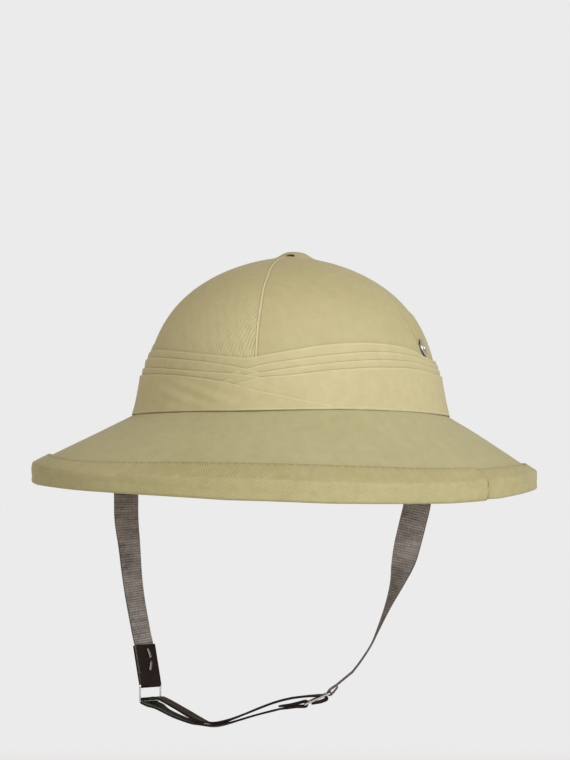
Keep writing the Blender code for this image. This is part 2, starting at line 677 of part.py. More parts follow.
def build():
    clear_scene()
    parts = new_collection("pith_helmet")
    cutters = new_collection("cutters")
    shell = make_shell(parts)
    crown_cover = make_crown_cover(parts)
    make_brim_cover(parts)
    make_edge_binding(parts)
    make_pugree(parts)
    make_vent_cap(parts)
    for name, bearing in EYELET_BEARINGS.items():
        make_eyelet(name, bearing, parts, cutters, (shell, crown_cover))

    wire_loop("strap_ring", ring_frame(), RING_BARS, parts)
    wire_loop("strap_slide", slide_frame(), SLIDE_BARS, parts)
    make_chin_strap(parts)

    tab_frame = bar_frame(ring_frame(), RING_BARS, np.array(WEBBING_LEFT[-1][:3]) / 1000.0)
    tail = round_bar(tab_frame, [(away / 1000.0, 0.0) for away in WEBBING_IN_TAB])
    webbing_left = make_webbing("webbing_left", -1.0, WEBBING_LEFT, tail, tab_frame[2], parts)
    tab = make_tab(tab_frame, parts)
    make_split_rivet(tab_frame, parts, cutters, (tab, webbing_left))

    fold_frame = bar_frame(slide_frame(), SLIDE_BARS, np.array(WEBBING_RIGHT[-1][:3]) / 1000.0)
    wrap = (WIRE + WEBBING_THICKNESS) / 2 + GAP
    lead, lap = np.array(WEBBING_LEAD) / 1000.0, np.array(WEBBING_LAP) / 1000.0
    fold = round_bar(fold_frame, np.concatenate((lead, bend((0.0, 0.0), wrap, 75, 210), lap)))
    webbing_right = make_webbing("webbing_right", 1.0, WEBBING_RIGHT, fold, fold_frame[2], parts)

    make_anchor("strap_anchor_left", -1.0, parts, cutters, (shell, webbing_left))
    make_anchor("strap_anchor_right", 1.0, parts, cutters, (shell, webbing_right))


build()
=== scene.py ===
"""A khaki pith helmet and its chin strap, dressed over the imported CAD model. Metres, +Z up, front towards -Y.

The pieces come in the order a hatter puts them together. Bearings run round the crown from +X towards +Y, so
the hat's front is at -90 degrees.
"""
import json

import bmesh
import bpy
import numpy as np
from mathutils import Matrix, Vector

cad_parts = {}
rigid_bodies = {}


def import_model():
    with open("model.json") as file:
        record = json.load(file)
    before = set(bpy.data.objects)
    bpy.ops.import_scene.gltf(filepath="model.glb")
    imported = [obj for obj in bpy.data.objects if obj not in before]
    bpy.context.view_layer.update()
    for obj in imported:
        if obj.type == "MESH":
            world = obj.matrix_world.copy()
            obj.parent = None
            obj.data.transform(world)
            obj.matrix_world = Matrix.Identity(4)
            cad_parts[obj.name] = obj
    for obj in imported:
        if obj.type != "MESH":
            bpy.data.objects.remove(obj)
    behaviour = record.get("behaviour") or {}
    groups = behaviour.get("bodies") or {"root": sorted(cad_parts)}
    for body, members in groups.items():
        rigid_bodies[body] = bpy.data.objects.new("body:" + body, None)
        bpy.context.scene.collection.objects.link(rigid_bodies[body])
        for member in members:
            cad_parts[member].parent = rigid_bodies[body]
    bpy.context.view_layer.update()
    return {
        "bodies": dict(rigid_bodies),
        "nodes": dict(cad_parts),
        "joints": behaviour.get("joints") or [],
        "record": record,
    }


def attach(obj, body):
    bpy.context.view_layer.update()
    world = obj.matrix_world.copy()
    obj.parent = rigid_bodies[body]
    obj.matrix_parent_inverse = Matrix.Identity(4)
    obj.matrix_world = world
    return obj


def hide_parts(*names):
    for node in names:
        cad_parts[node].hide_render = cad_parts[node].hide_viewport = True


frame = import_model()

MM = 0.001


# ---- Shell
# Two layers of pith board pasted over a block and dried: crown and brim in one, 5 mm thick. Inside it shows
# the bare board, a matt buff with flecks and long soft fibres.

CROWN_HALF_WIDTH, CROWN_HALF_LENGTH, CROWN_RISE = 91.6 * MM, 108.8 * MM, 94.4 * MM
CROWN_SHOULDER, CROWN_ROUND, CROWN_TAPER = 3.81, 1.72, 0.18
VENT_HEIGHT = 94.0 * MM     # where the cloth stops, under the vent cap
FINE_STEPS = 4000           # points on a curve that is read the other way round
JUNCTION_HEIGHTS = (
    # bearing, and the height in millimetres there of the line where crown and brim meet, past a whole turn
    (-300, -0.6), (-225, -0.3), (-165, -0.4), (-117, 0.0), (-90, 0.0), (-75, 0.7), (-60, 1.5), (-29, 1.4),
    (0, -0.2), (20, -0.9), (60, -0.6), (135, -0.3), (195, -0.4), (243, 0.0),
)
BRIM_HALF_WIDTH, BRIM_HALF_LENGTH = 151.1 * MM, 169.2 * MM
BRIM_SHIFT_X, BRIM_SHIFT_Y, BRIM_DROP = -3.4 * MM, -0.9 * MM, 39.3 * MM
BRIM_WAVES = (
    # times round, cosine part, sine part of the drop, in millimetres
    (1, 2.14, -0.32),
    (2, -2.61, -2.18),
    (3, -0.23, -0.07),
    (4, -1.00, -0.73),
)
BRIM_BULGE, BRIM_DISH = 0.5 * MM, 0.2 * MM
COVER_THICKNESS, SHELL_THICKNESS, CLEAR = 1.0 * MM, 5.0 * MM, 0.3 * MM
SEAM_TABLES = (
    # heights in millimetres, and the seam's bearing there: front, right, back and left
    ((0, 30, 60, 80, 90, 94.4), (-88.8, -88.8, -89.3, -90.9, -94.2, -97.5)),
    ((0, 39, 44, 60, 80, 94.4), (-8.5, -9.8, -10.4, -12.5, -14.0, -16.0)),
    ((0, 94.4), (90.0, 90.0)),
    ((0, 39, 44, 60, 80, 94.4), (188.5, 189.8, 190.4, 192.5, 194.0, 196.0)),
)
UP = np.array((0.0, 0.0, 1.0))


def unit(vectors):
    """Each vector over its own length."""
    return vectors / np.linalg.norm(vectors, axis=-1, keepdims=True)


def smooth_step(value, low, high):
    """0 below low and 1 above high, with 3t squared less 2t cubed between."""
    t = np.clip((value - low) / (high - low), 0.0, 1.0)
    return t * t * (3.0 - 2.0 * t)


def run_along(points):
    """Distance from the first of a row of points to each: the sum of the steps up to it."""
    return np.concatenate(([0.0], np.cumsum(np.linalg.norm(np.diff(points, axis=0), axis=1))))


def hump(value, middle, width):
    """Bell curve, e to the minus square of the distance from middle over width."""
    return np.exp(-((value - middle) / width) ** 2)


def crown_point(bearing, height):
    """Ellipse whose size falls with height: (1 - share^shoulder)^(1/round) times a straight taper."""
    share = np.clip(height / CROWN_RISE, 0.0, 1.0)
    girth = (1.0 - share ** CROWN_SHOULDER) ** (1.0 / CROWN_ROUND) * (1.0 - CROWN_TAPER * share)
    return np.stack((CROWN_HALF_WIDTH * girth * np.cos(bearing), CROWN_HALF_LENGTH * girth * np.sin(bearing),
                     height + 0.0 * bearing), axis=-1)


def waves(table, bearing):
    """Sum of a table's cosine and sine waves of the bearing."""
    return MM * sum(c * np.cos(n * bearing) + s * np.sin(n * bearing) for n, c, s in table)


def through(table, column, place):
    """Cubic through a table's rows: each span leaves and arrives at the mean slope of its neighbours."""
    rows = np.array(table, dtype=float)
    x, y = rows[:, 0], rows[:, column]
    slopes = np.gradient(y, x)
    i = np.clip(np.searchsorted(x, place) - 1, 0, len(x) - 2)
    span = x[i + 1] - x[i]
    t = (place - x[i]) / span
    return ((2 * t ** 3 - 3 * t ** 2 + 1) * y[i] + (t ** 3 - 2 * t ** 2 + t) * span * slopes[i]
            + (3 * t ** 2 - 2 * t ** 3) * y[i + 1] + (t ** 3 - t ** 2) * span * slopes[i + 1])


def brim_edge(bearing):
    """Ellipse in plan, dropped by a mean and a few cosine and sine waves of the bearing."""
    drop = BRIM_DROP + waves(BRIM_WAVES, bearing)
    return np.stack((BRIM_SHIFT_X + BRIM_HALF_WIDTH * np.cos(bearing),
                     BRIM_SHIFT_Y + BRIM_HALF_LENGTH * np.sin(bearing), -drop), axis=-1)


def brim_point(bearing, share):
    """Straight line from the crown's foot to the brim's edge, plus a half sine, less a bell by the crown."""
    share = np.broadcast_to(share, bearing.shape)[..., None]
    wall = crown_point(bearing, np.zeros_like(bearing))
    wall[..., 2] = MM * through(JUNCTION_HEIGHTS, 1, (np.degrees(bearing) + 180.0) % 360.0 - 180.0)
    dish = BRIM_DISH * np.cos(bearing)[..., None] ** 2 * hump(share, 0.13, 0.12)
    bulge = BRIM_BULGE * np.sin(np.pi * share)
    return wall * (1.0 - share) + brim_edge(bearing) * share + (bulge - dish) * UP


def crown_heights(count):
    """Heights from the vent down to the foot, at even runs along the crown's side, and those runs."""
    fine = np.sin(np.linspace(np.pi / 2, 0.0, FINE_STEPS)) ** (2 / CROWN_SHOULDER) * CROWN_RISE
    fine = fine[fine <= VENT_HEIGHT]
    run = run_along(crown_point(np.zeros_like(fine), fine))
    even = np.linspace(0.0, run[-1], count)
    return np.interp(even, run, fine), even


def lift(rows, distance, upright_end=False):
    """Rows moved square to their face by a distance, mitred where they bend; the last may go straight up."""
    around = unit(np.roll(rows, -1, axis=1) - np.roll(rows, 1, axis=1))
    steps = unit(np.diff(rows, axis=0))
    before = unit(np.cross(np.concatenate((steps[:1], steps)), around))
    after = unit(np.cross(np.concatenate((steps, steps[-1:])), around))
    normal = unit(before + after)
    distance = np.broadcast_to(distance, rows.shape[:2])[..., None]
    moved = rows + normal * distance / np.sum(normal * before, axis=-1, keepdims=True)
    if upright_end:
        moved[-1] = rows[-1] + distance[-1] / normal[-1, :, 2:] * UP
    return moved


def linear(colour):
    """sRGB hex to linear light: the standard curve, x/12.92 low down and ((x+0.055)/1.055)^2.4 above."""
    value = np.array([int(colour[i:i + 2], 16) for i in (1, 3, 5)]) / 255.0
    return (*np.where(value <= 0.04045, value / 12.92, ((value + 0.055) / 1.055) ** 2.4), 1.0)


def add(tree, kind, inputs, **settings):
    """Adds a node with its settings; each input, by name or number, takes a value or an output to link."""
    made = tree.nodes.new("ShaderNode" + kind)
    for name, value in settings.items():
        setattr(made, name, value)
    for key, value in inputs.items():
        if isinstance(value, bpy.types.NodeSocket):
            tree.links.new(value, made.inputs[key])
        else:
            made.inputs[key].default_value = value
    return made


def new_material(name):
    """Material with only its Principled shader and output; returns it, its tree and the shader."""
    made = bpy.data.materials.new(name)
    made.use_nodes = True
    return made, made.node_tree, made.node_tree.nodes["Principled BSDF"]


def surface(name, points, material, slot, close_across=False, close_along=False, uv=None, uv_next=None,
            attributes=None, replaces=()):
    """Mesh of quads over a grid of points (along, across, 3), closed either way if asked.

    uv is (along, across, 2) in metres; uv_next is the same for each quad's far side across, where a seam
    parts the cloth. Attributes are numbers for each point. A piece with a slot, which is all but the stage,
    is attached to the root body; the slot's name is not used.
    """
    along, across = points.shape[:2]
    index = np.arange(along * across).reshape(along, across)
    near = index if close_along else index[:-1]
    far = np.roll(index, -1, axis=0)[:len(near)]
    left = slice(None) if close_across else slice(0, across - 1)
    right = np.roll(np.arange(across), -1)[left]
    corners = np.stack((near[:, left], near[:, right], far[:, right], far[:, left]), axis=-1).reshape(-1, 4)
    mesh = bpy.data.meshes.new(name)
    mesh.from_pydata(points.reshape(-1, 3), [], corners)
    if uv is not None:
        after = np.roll(uv, -1, axis=1) if uv_next is None else uv_next
        ahead = np.roll(uv, -1, axis=0)
        ahead_after = np.roll(after, -1, axis=0)
        laid = [grid[:len(near)][:, left] for grid in (uv, after, ahead_after, ahead)]
        laid = np.stack(laid, axis=2).reshape(-1, 2)
        mesh.uv_layers.new(name="UVMap").data.foreach_set("uv", laid.astype(np.float32).ravel())
    for key, values in (attributes or {}).items():
        layer = mesh.attributes.new(key, "FLOAT", "POINT")
        layer.data.foreach_set("value", np.broadcast_to(values, (along, across)).astype(np.float32).ravel())
    mesh.materials.append(material)
    mesh.shade_smooth()
    mesh.update()
    made = bpy.data.objects.new(name, mesh)
    bpy.context.scene.collection.objects.link(made)
    if slot:
        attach(made, "root")
    if replaces:
        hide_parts(*replaces)
    return made


pith_board, tree, shader = new_material("pasted_pith_board")
place = add(tree, "TexCoord", {}).outputs["Object"]
# Fibres 0.5 mm wide and 6 mm long, laid round the block, are drawn 1.3 mm wide so that they show; flecks are
# some 20 mm apart
stretched = add(tree, "Mapping", {"Vector": place, "Scale": (1.0, 1.0, 5.0)}).outputs["Vector"]
fibre = add(tree, "TexNoise", {"Vector": stretched, "Scale": 160.0, "Detail": 6.0, "Roughness": 0.62})
fleck = add(tree, "TexNoise", {"Vector": place, "Scale": 45.0, "Detail": 3.0})
tone = add(tree, "Mix", {0: fibre.outputs["Fac"], 6: linear("#a8926a"), 7: linear("#cdbb93")},
           data_type="RGBA")
worn = add(tree, "MapRange", {"Value": fleck.outputs["Fac"], "From Min": 0.50, "From Max": 0.75,
                              "To Max": 0.5})
stained = add(tree, "Mix", {0: worn.outputs["Result"], 6: tone.outputs[2], 7: linear("#8d7850")},
              data_type="RGBA")
raised = add(tree, "Bump", {"Strength": 0.5, "Distance": 0.5 * MM, "Height": fibre.outputs["Fac"]})
tree.links.new(stained.outputs[2], shader.inputs["Base Color"])
tree.links.new(raised.outputs["Normal"], shader.inputs["Normal"])
shader.inputs["Roughness"].default_value = 0.9
frame["nodes"]["shell"].data.materials.clear()
frame["nodes"]["shell"].data.materials.append(pith_board)


# ---- Crown cover
# Four gores of khaki cotton drill, seamed at the front, back and sides and pasted to the shell. Each seam is
# felled: its raw edges turn under on one side, so it stands up as a narrow ridge with a line of stitches.

PANEL_WIDTH_NEAR = np.array((0, 0.12, 0.3, 0.5, 0.8, 1.1, 1.35, 1.6, 1.9, 2.3, 3.0, 4.0, 5.5, 7.0)) * MM
PANEL_MIDDLE, CROWN_ROWS = 104, 118
SEAM_HEIGHT, SEAM_SPREAD, STITCH_LINE = 0.55 * MM, 1.3 * MM, 1.35 * MM
CLOTH_DEPTH = 0.9 * MM      # how far its inner face lies below the form that its outer face stands on
TWILL_PITCH, TWILL_TURN = 1.2 * MM, 0.95


def drill(name, light, dark, pitch, twill_turn, contrast, rough):
    """Cotton drill: diagonal ribs of the weave over its fine yarns, with soft lighter and darker patches."""
    made, tree, shader = new_material(name)
    place = add(tree, "UVMap", {}).outputs["UV"]
    whole = add(tree, "TexCoord", {}).outputs["Object"]
    # A wave texture repeats 20 / (2 pi) times a metre at scale 1, and a noise about once. Ribs are 0.6 mm
    # apart, drawn up to 1.3 mm, and yarns 0.4 mm, drawn 1.4 mm, so that they show. Slubs are some 8 mm apart
    # and the faded patches 70 mm.
    wave = 2 * np.pi / 20.0
    slanted = add(tree, "Mapping", {"Vector": place, "Rotation": (0.0, 0.0, twill_turn)}).outputs["Vector"]
    rib = add(tree, "TexWave", {"Vector": slanted, "Scale": wave / pitch, "Distortion": 1.2, "Detail": 2.0,
                                "Detail Scale": 1.6}, bands_direction="X")
    yarn = add(tree, "TexNoise", {"Vector": place, "Scale": 700.0, "Detail": 3.0, "Roughness": 0.6})
    woven = add(tree, "Mix", {0: 0.5, 2: rib.outputs["Fac"], 3: yarn.outputs["Fac"]}, data_type="FLOAT")
    slub = add(tree, "TexNoise", {"Vector": place, "Scale": 130.0, "Detail": 4.0, "Roughness": 0.6})
    patch = add(tree, "TexNoise", {"Vector": whole, "Scale": 14.0, "Detail": 3.0})
    shade = add(tree, "Mix", {0: 0.5, 2: slub.outputs["Fac"], 3: patch.outputs["Fac"]}, data_type="FLOAT")
    shade = add(tree, "Mix", {0: contrast, 2: shade.outputs[0], 3: woven.outputs[0]}, data_type="FLOAT")
    factor = add(tree, "MapRange", {"Value": shade.outputs[0], "From Min": 0.25, "From Max": 0.75})
    colour = add(tree, "Mix", {0: factor.outputs["Result"], 6: linear(dark), 7: linear(light)},
                 data_type="RGBA")
    # Puckered cloth: fine streaks up the cloth, about 2 mm apart, lean both ways so that they cross. They are
    # bumped, and tinted pale as a painted sheen where the puckers catch the light
    pucker_and_painted_sheen = add(tree, "Attribute", {}, attribute_name="pucker_and_painted_sheen")
    leaning = []
    for lean, apart in ((0.11, 1.8 * MM), (-0.08, 2.4 * MM)):
        leant = add(tree, "Mapping", {"Vector": place, "Rotation": (0.0, 0.0, lean)}).outputs["Vector"]
        leaning.append(add(tree, "TexWave", {"Vector": leant, "Scale": wave / apart, "Distortion": 3.5,
                                             "Detail": 3.0, "Detail Scale": 0.9},
                           bands_direction="X").outputs["Fac"])
    streak = add(tree, "Math", {0: leaning[0], 1: leaning[1]}, operation="MAXIMUM")
    streak = add(tree, "MapRange", {"Value": streak.outputs[0], "From Min": 0.60, "From Max": 1.05})
    shown = add(tree, "Math", {0: streak.outputs["Result"], 1: pucker_and_painted_sheen.outputs["Fac"]}, operation="MULTIPLY")
    # A turned edge catches the light, and the crease beside it lies in its own shade
    line = add(tree, "Attribute", {}, attribute_name="line")
    pale = add(tree, "MapRange", {"Value": line.outputs["Fac"], "From Max": 1.0, "To Max": 0.6})
    dim = add(tree, "MapRange", {"Value": line.outputs["Fac"], "From Max": -1.6, "To Max": 0.96})
    for amount, tint in ((shown.outputs[0], "#d3cba6"), (pale.outputs["Result"], "#dcd4b0"),
                         (dim.outputs["Result"], "#6f5a2b")):
        colour = add(tree, "Mix", {0: amount, 6: colour.outputs[2], 7: linear(tint)}, data_type="RGBA")
    height = add(tree, "Math", {0: woven.outputs[0], 1: 0.6}, operation="MULTIPLY")
    height = add(tree, "Math", {0: shown.outputs[0], 1: 1.2, 2: height.outputs[0]}, operation="MULTIPLY_ADD")
    raised = add(tree, "Bump", {"Strength": 0.45, "Distance": 0.12 * MM, "Height": height.outputs[0]})
    tree.links.new(colour.outputs[2], shader.inputs["Base Color"])
    tree.links.new(raised.outputs["Normal"], shader.inputs["Normal"])
    shader.inputs["Roughness"].default_value = rough
    shader.inputs["Sheen Weight"].default_value = 0.10
    shader.inputs["Sheen Roughness"].default_value = 0.4
    return made


def side_swell(bearing, height):
    """Millimetres that the cloth stands off over the turnings of the right side seam, beside its eyelet."""
    degrees = np.degrees(bearing)
    across = smooth_step(degrees, -14.0, 6.0) * (1.0 - smooth_step(degrees, 28.0, 62.0))
    up = 1.0 - smooth_step(height / MM, 58.5, 62.0)
    return 0.6 * across * up * (0.55 + 0.45 * smooth_step(height / MM, 8.0, 36.0))


crown_drill = drill("khaki_cotton_drill", "#bab086", "#a2986d", TWILL_PITCH, TWILL_TURN, 0.30, 0.82)

heights, run_down = crown_heights(CROWN_ROWS)
seams = np.radians([np.interp(heights / MM, *table) for table in SEAM_TABLES])
seams[3] -= 2 * np.pi
seams = seams[[3, 0, 1, 2]]
ends = np.concatenate((seams[1:], seams[:1] + 2 * np.pi))
radius = np.linalg.norm(crown_point(np.full_like(heights, np.pi / 4), heights)[:, :2], axis=-1)
width = (ends - seams) * radius
fit = np.minimum(1.0, 0.45 * width / PANEL_WIDTH_NEAR[-1])
near = fit[..., None] * PANEL_WIDTH_NEAR
between = np.linspace(0.0, 1.0, PANEL_MIDDLE + 2)[1:-1]
middle = near[..., -1:] + (width[..., None] - 2 * near[..., -1:]) * between
distance = np.concatenate((near, middle, width[..., None] - near[..., :0:-1]), axis=-1)
bearing = seams[..., None] + distance / radius[None, :, None]

left_of_next = width[..., None] - distance
run_grid = run_down[None, :, None] + 0.0 * distance
ripple = np.sin(run_grid / MM * 2 * np.pi / 5.5 + 1.3 * np.sin(run_grid / MM / 7.0))
height_grid = np.broadcast_to(heights[None, :, None], distance.shape)
# The seams come left, front, right, back. The side ones are pressed flat and hardly show above the swell
high_up = smooth_step(height_grid / MM, 56.0, 66.0)
flat = np.array((1.0, 0.0, 1.0, 0.0))[:, None, None]
raised_seam, line_seam = 1.0 - 0.92 * flat, 1.0 - flat * (0.25 + 0.75 * high_up)
ridge = SEAM_HEIGHT * np.exp(-distance / SEAM_SPREAD) * raised_seam
groove = 0.20 * MM * hump(distance, STITCH_LINE, 0.26 * MM) * line_seam
flank = SEAM_HEIGHT * np.exp(-left_of_next / (0.45 * MM)) * np.roll(raised_seam, -1, axis=0)
drawn = 0.03 * MM * ripple * (np.exp(-distance / (6 * MM)) * raised_seam
                              + np.exp(-left_of_next / (9 * MM)) * np.roll(raised_seam, -1, axis=0))
swell = side_swell(bearing, height_grid) * MM
stand = ridge - groove + flank + drawn + swell
# Painted light and shade along the seams: a painted highlight on each raised ridge, a soft painted shade beside
# the flat side seams low down, and a dark painted shade line in the stitched groove, varied by the stitches
stitches = 0.8 + 0.2 * np.sin(run_grid / (0.35 * MM))
line = (0.8 * hump(distance, 0.35 * MM, 0.45 * MM) * raised_seam
        - 0.42 * hump(distance, 0.6 * MM, 0.9 * MM) * flat * (1.0 - high_up)
        - 0.85 * hump(distance, STITCH_LINE, 0.3 * MM) * line_seam * stitches)
# Low down beside the front seam the cloth puckers: its streaks are bumped and carry a painted sheen
pucker_and_painted_sheen = np.zeros_like(distance)
tight = smooth_step(-height_grid / MM, -88.0, -40.0)
pucker_and_painted_sheen[0] = (0.22 + 0.42 * np.exp(-left_of_next[0] / (26 * MM))) * tight[0] * smooth_step(
    -left_of_next[0], -0.120, -0.055)
pucker_and_painted_sheen[1] = 0.06 * np.exp(-distance[1] / (60 * MM)) * tight[1]

across = distance - width[..., None] / 2
across_next = np.concatenate((across[..., 1:], width[..., None] / 2), axis=-1)
# The four panels' grids of (height, place) are set side by side round the hat
bearing, height_grid, run_grid, stand, pucker_and_painted_sheen, line, across, across_next = (
    np.moveaxis(grid, 0, 1).reshape(CROWN_ROWS, -1)
    for grid in (bearing, height_grid, run_grid, stand, pucker_and_painted_sheen, line, across, across_next))
drawn_on = crown_point(bearing, height_grid)
uv, uv_next = (np.stack((grid, run_grid), axis=-1) for grid in (across, across_next))
# Out down the outer face, then back up the inner one, which needs only every seventh row
uv, uv_next, pucker_and_painted_sheen, line = (np.concatenate((grid, grid[::-7])) for grid in (uv, uv_next, pucker_and_painted_sheen, line))
cloth = np.concatenate((lift(drawn_on, stand), lift(drawn_on, -CLOTH_DEPTH)[::-7]))
crown_cover = surface("crown_drill_cover", cloth, crown_drill, "cotton", close_across=True, close_along=True,
                      uv=uv, uv_next=uv_next, attributes={"pucker_and_painted_sheen": pucker_and_painted_sheen, "line": line},
                      replaces=("crown_cover",))


# ---- Brim cover
# One ring of the same drill, stretched over the brim's top and pasted down. It lies smooth, with the faint
# unevenness of the board below.

BRIM_ROWS, ROUND = 44, 640
BRIM_CLOTH_RADIUS, BRIM_CLOTH_WIDTH = 130 * MM, 66 * MM     # over which the weave is laid out


def left_rise(bearing, share):
    """How far the cloth rises over the brim's left edge: a bell of the bearing times a step outward."""
    from_left = (np.degrees(bearing) + 350.0) % 360.0 - 180.0
    return 1.2 * MM * hump(from_left, 0.0, 34.0) * smooth_step(share, 0.30, 0.95)


round_hat = np.linspace(-np.pi, np.pi, ROUND, endpoint=False)
shares = np.linspace(0.015, 0.999, BRIM_ROWS)
drawn_on = np.stack([brim_point(round_hat, share) for share in shares])
shares = shares[:, None]
wander = (np.sin(3 * round_hat + 0.6) * np.sin(np.pi * shares * 1.4)
          + 0.6 * np.sin(7 * round_hat + 5 * shares) + 0.4 * np.sin(13 * round_hat - 3 * shares))
stand = 0.12 * MM * wander * np.sin(np.pi * shares) + left_rise(round_hat, shares)
uv = np.stack(np.broadcast_arrays(round_hat * BRIM_CLOTH_RADIUS, shares * BRIM_CLOTH_WIDTH), axis=-1)
uv_next = uv + (BRIM_CLOTH_RADIUS * 2 * np.pi / ROUND, 0.0)
# The inner face needs only every fourth row
uv, uv_next = (np.concatenate((grid, grid[::-4])) for grid in (uv, uv_next))
cloth = np.concatenate((lift(drawn_on, stand, upright_end=True),
                        lift(drawn_on, -CLOTH_DEPTH, upright_end=True)[::-4]))
brim_drill = drill("khaki_cotton_drill_brim", "#b6af87", "#9d966e", TWILL_PITCH, TWILL_TURN, 0.30, 0.84)
surface("brim_drill_cover", cloth, brim_drill, "cotton", close_across=True, close_along=True, uv=uv,
        uv_next=uv_next, attributes={"pucker_and_painted_sheen": 0.0, "line": 0.0}, replaces=("brim_cover",))


# ---- Edge binding
# A bias strip of the same drill folded over the brim's edge and stitched through near its inner edge. Its
# end laps over its start at the right front, where the fold stands a little proud, with painted shade for
# the dark gap there.

BINDING_EDGES = (
    # bearing, share of the way down the brim where the binding's stitched edge lies
    (-180, 0.86), (-160, 0.84), (-137, 0.855), (-113, 0.82), (-96, 0.80), (-70, 0.795), (-53, 0.80),
    (-42, 0.82), (-25, 0.86), (6, 0.90), (30, 0.87), (120, 0.86), (180, 0.86),
)
BINDING_BELLIES = (
    # bearing, and how far the binding bellies below the board's lower corner, in millimetres
    (-180, 1.45), (-150, 1.45), (-138, 0.85), (-128, 0.65), (-118, 0.5), (-104, 1.1), (-97, 1.6),
    (-88, 2.35), (-80, 2.1), (-66, 1.95), (-60, 1.5), (-51, 1.1), (-38, 0.9), (-31, 0.5), (-27, 0.6),
    (-21, 1.4), (180, 1.45),
)
BINDING_THICKNESS, BINDING_UNDER = 1.2 * MM, 10.0 * MM
LAP_BEARING, LAP_STEP, LAP_RAMP, UNDER_LAP = np.radians(-26.4), 0.95 * MM, 60.0 * MM, 6.0 * MM
EDGE_RADIUS = 160 * MM      # of the circle along which places on the binding are told
# Rows of the binding's grid, from its stitched edge outwards: over the brim, round a corner, down the face
TOP_ROWS, CORNER_ROWS, FACE_ROWS = 14, 8, 7

lap_near = np.array((0, 0.1, 0.25, 0.5, 0.9, 1.5, 2.2, 3.2, 4.5)) * MM
full = 2 * np.pi * EDGE_RADIUS
place = np.concatenate((lap_near - UNDER_LAP, np.linspace(5.5 * MM, full - 5.5 * MM, 740),
                        full - lap_near[::-1]))
binding_bearing = LAP_BEARING + place / EDGE_RADIUS
wrapped = np.degrees((binding_bearing + np.pi) % (2 * np.pi) - np.pi)
start_share = np.interp(wrapped, *np.array(BINDING_EDGES).T)
start, edge = brim_point(binding_bearing, start_share), brim_point(binding_bearing, 1.0)
tangent = unit(brim_point(binding_bearing + 0.01, 1.0) - brim_point(binding_bearing - 0.01, 1.0))
slope = unit(edge - brim_point(binding_bearing, 0.95))
face_normal = unit(np.cross(tangent, UP))
top_normal = unit(np.cross(slope, tangent))
fall = (COVER_THICKNESS + CLEAR + SHELL_THICKNESS) / top_normal[:, 2:]
foot = edge - UP * fall


def corner_rows(corner, first, second, ease):
    """Rows round a corner: a circle's arc of ease plus the offset, about a centre ease inside the corner."""
    centre = corner - ease * (first + second) / (1.0 + np.sum(first * second, axis=-1, keepdims=True))
    return [(centre, unit(first * np.cos(turn) + second * np.sin(turn)), ease)
            for turn in np.linspace(0.0, np.pi / 2, CORNER_ROWS)]


bases = [(start + (edge - start) * t, top_normal, 0.0) for t in np.linspace(0.0, 1.0, TOP_ROWS + 2)[:-2]]
# The cloth bellies a little below the board's sharp lower corner before it turns under
drop = np.interp(wrapped, *np.array(BINDING_BELLIES).T)[:, None] * MM
belly = UP * drop
bases += corner_rows(edge, top_normal, face_normal, 0.9 * MM)
bases += [(edge - UP * (fall + drop) * t, face_normal, 0.0) for t in np.linspace(0.25, 0.8, FACE_ROWS)]
bases += corner_rows(foot - belly, face_normal, -top_normal, 0.15 * MM)
bases += [(foot - belly * (1.0 - t) ** 0.7 - slope * BINDING_UNDER * t, -top_normal, 0.0)
          for t in (0.3, 0.65, 1.0)]
middles, ways, eases = (np.array(values) for values in zip(*bases))
row = np.arange(len(bases))[:, None] + 0.0 * place
face_row = TOP_ROWS + CORNER_ROWS + FACE_ROWS // 2
under_row = TOP_ROWS + CORNER_ROWS + FACE_ROWS + 5      # by which the cloth has turned under
to_end = full - place
laid_over = smooth_step(-to_end, -LAP_RAMP, -4 * MM)
soft = (0.16 * MM * np.sin(binding_bearing * 23 + 2.0 * np.sin(binding_bearing * 5))
        + 0.10 * MM * np.sin(binding_bearing * 61 + row * 0.5))
soft = soft * np.sin(np.pi * np.clip(row / under_row, 0, 1))
crease = -0.22 * MM * hump(row, face_row + 1.6 * np.sin(binding_bearing * 4 + 0.8), 1.3)
hem = -0.22 * MM * hump(row, 2.4, 0.8)
risen = left_rise(binding_bearing, 1.0) * (1.0 - smooth_step(row, 13.0, 19.0))
outward = CLEAR + BINDING_THICKNESS + LAP_STEP * laid_over + soft + crease + hem + risen
inward = CLEAR + 1.35 * MM * smooth_step(-to_end, -12 * MM, -7 * MM) + risen
cut = -4.5 * MM * np.exp(-row / 2.2) + 1.0 * MM * hump(row, face_row, 5.0)
cut = (cut * np.exp(-np.minimum(place + UNDER_LAP, to_end) / (12 * MM)))[..., None] * tangent
outer = middles + ways * (eases[:, None, None] + outward[..., None]) + cut
inner = middles + ways * (eases[:, None, None] + inward[..., None]) + cut
# The stitched inner edge gets a fine dotted line of painted shade; the start gets painted shade where the
# end laps over it, and the end's own edge a dark painted gap shade
line = -0.8 * hump(row, 1.2, 0.7) * (0.6 + 0.4 * np.sin(place / (0.8 * MM)))
line = line - 0.5 * hump(place, 0.0, 2.5 * MM) * (place < 6 * MM) * (row < under_row)
gap_painted_shade = (0.45 + 1.3 * hump(row, 21.5, 1.8) + 1.3 * hump(row, 30.0, 2.2)) * smooth_step(row, 14.0, 19.0)
line = line - gap_painted_shade * hump(to_end, 0.2 * MM, 0.75 * MM) * (row < under_row + 2)
far_from_lap = outer[:, 300]
uv = np.stack(np.broadcast_arrays(place, run_along(far_from_lap)[:, None]), axis=-1)
# The inner face needs only every third row. The end columns come twice, for the rows that close the tube
uv, line = (np.concatenate((grid, grid[::-3])) for grid in (uv, line))
uv, line = (np.concatenate((grid[:, :1], grid, grid[:, -1:]), axis=1) for grid in (uv, line))
binding_drill = drill("khaki_bias_binding", "#b9b086", "#908759", 1.3 * MM, 0.62, 0.42, 0.80)


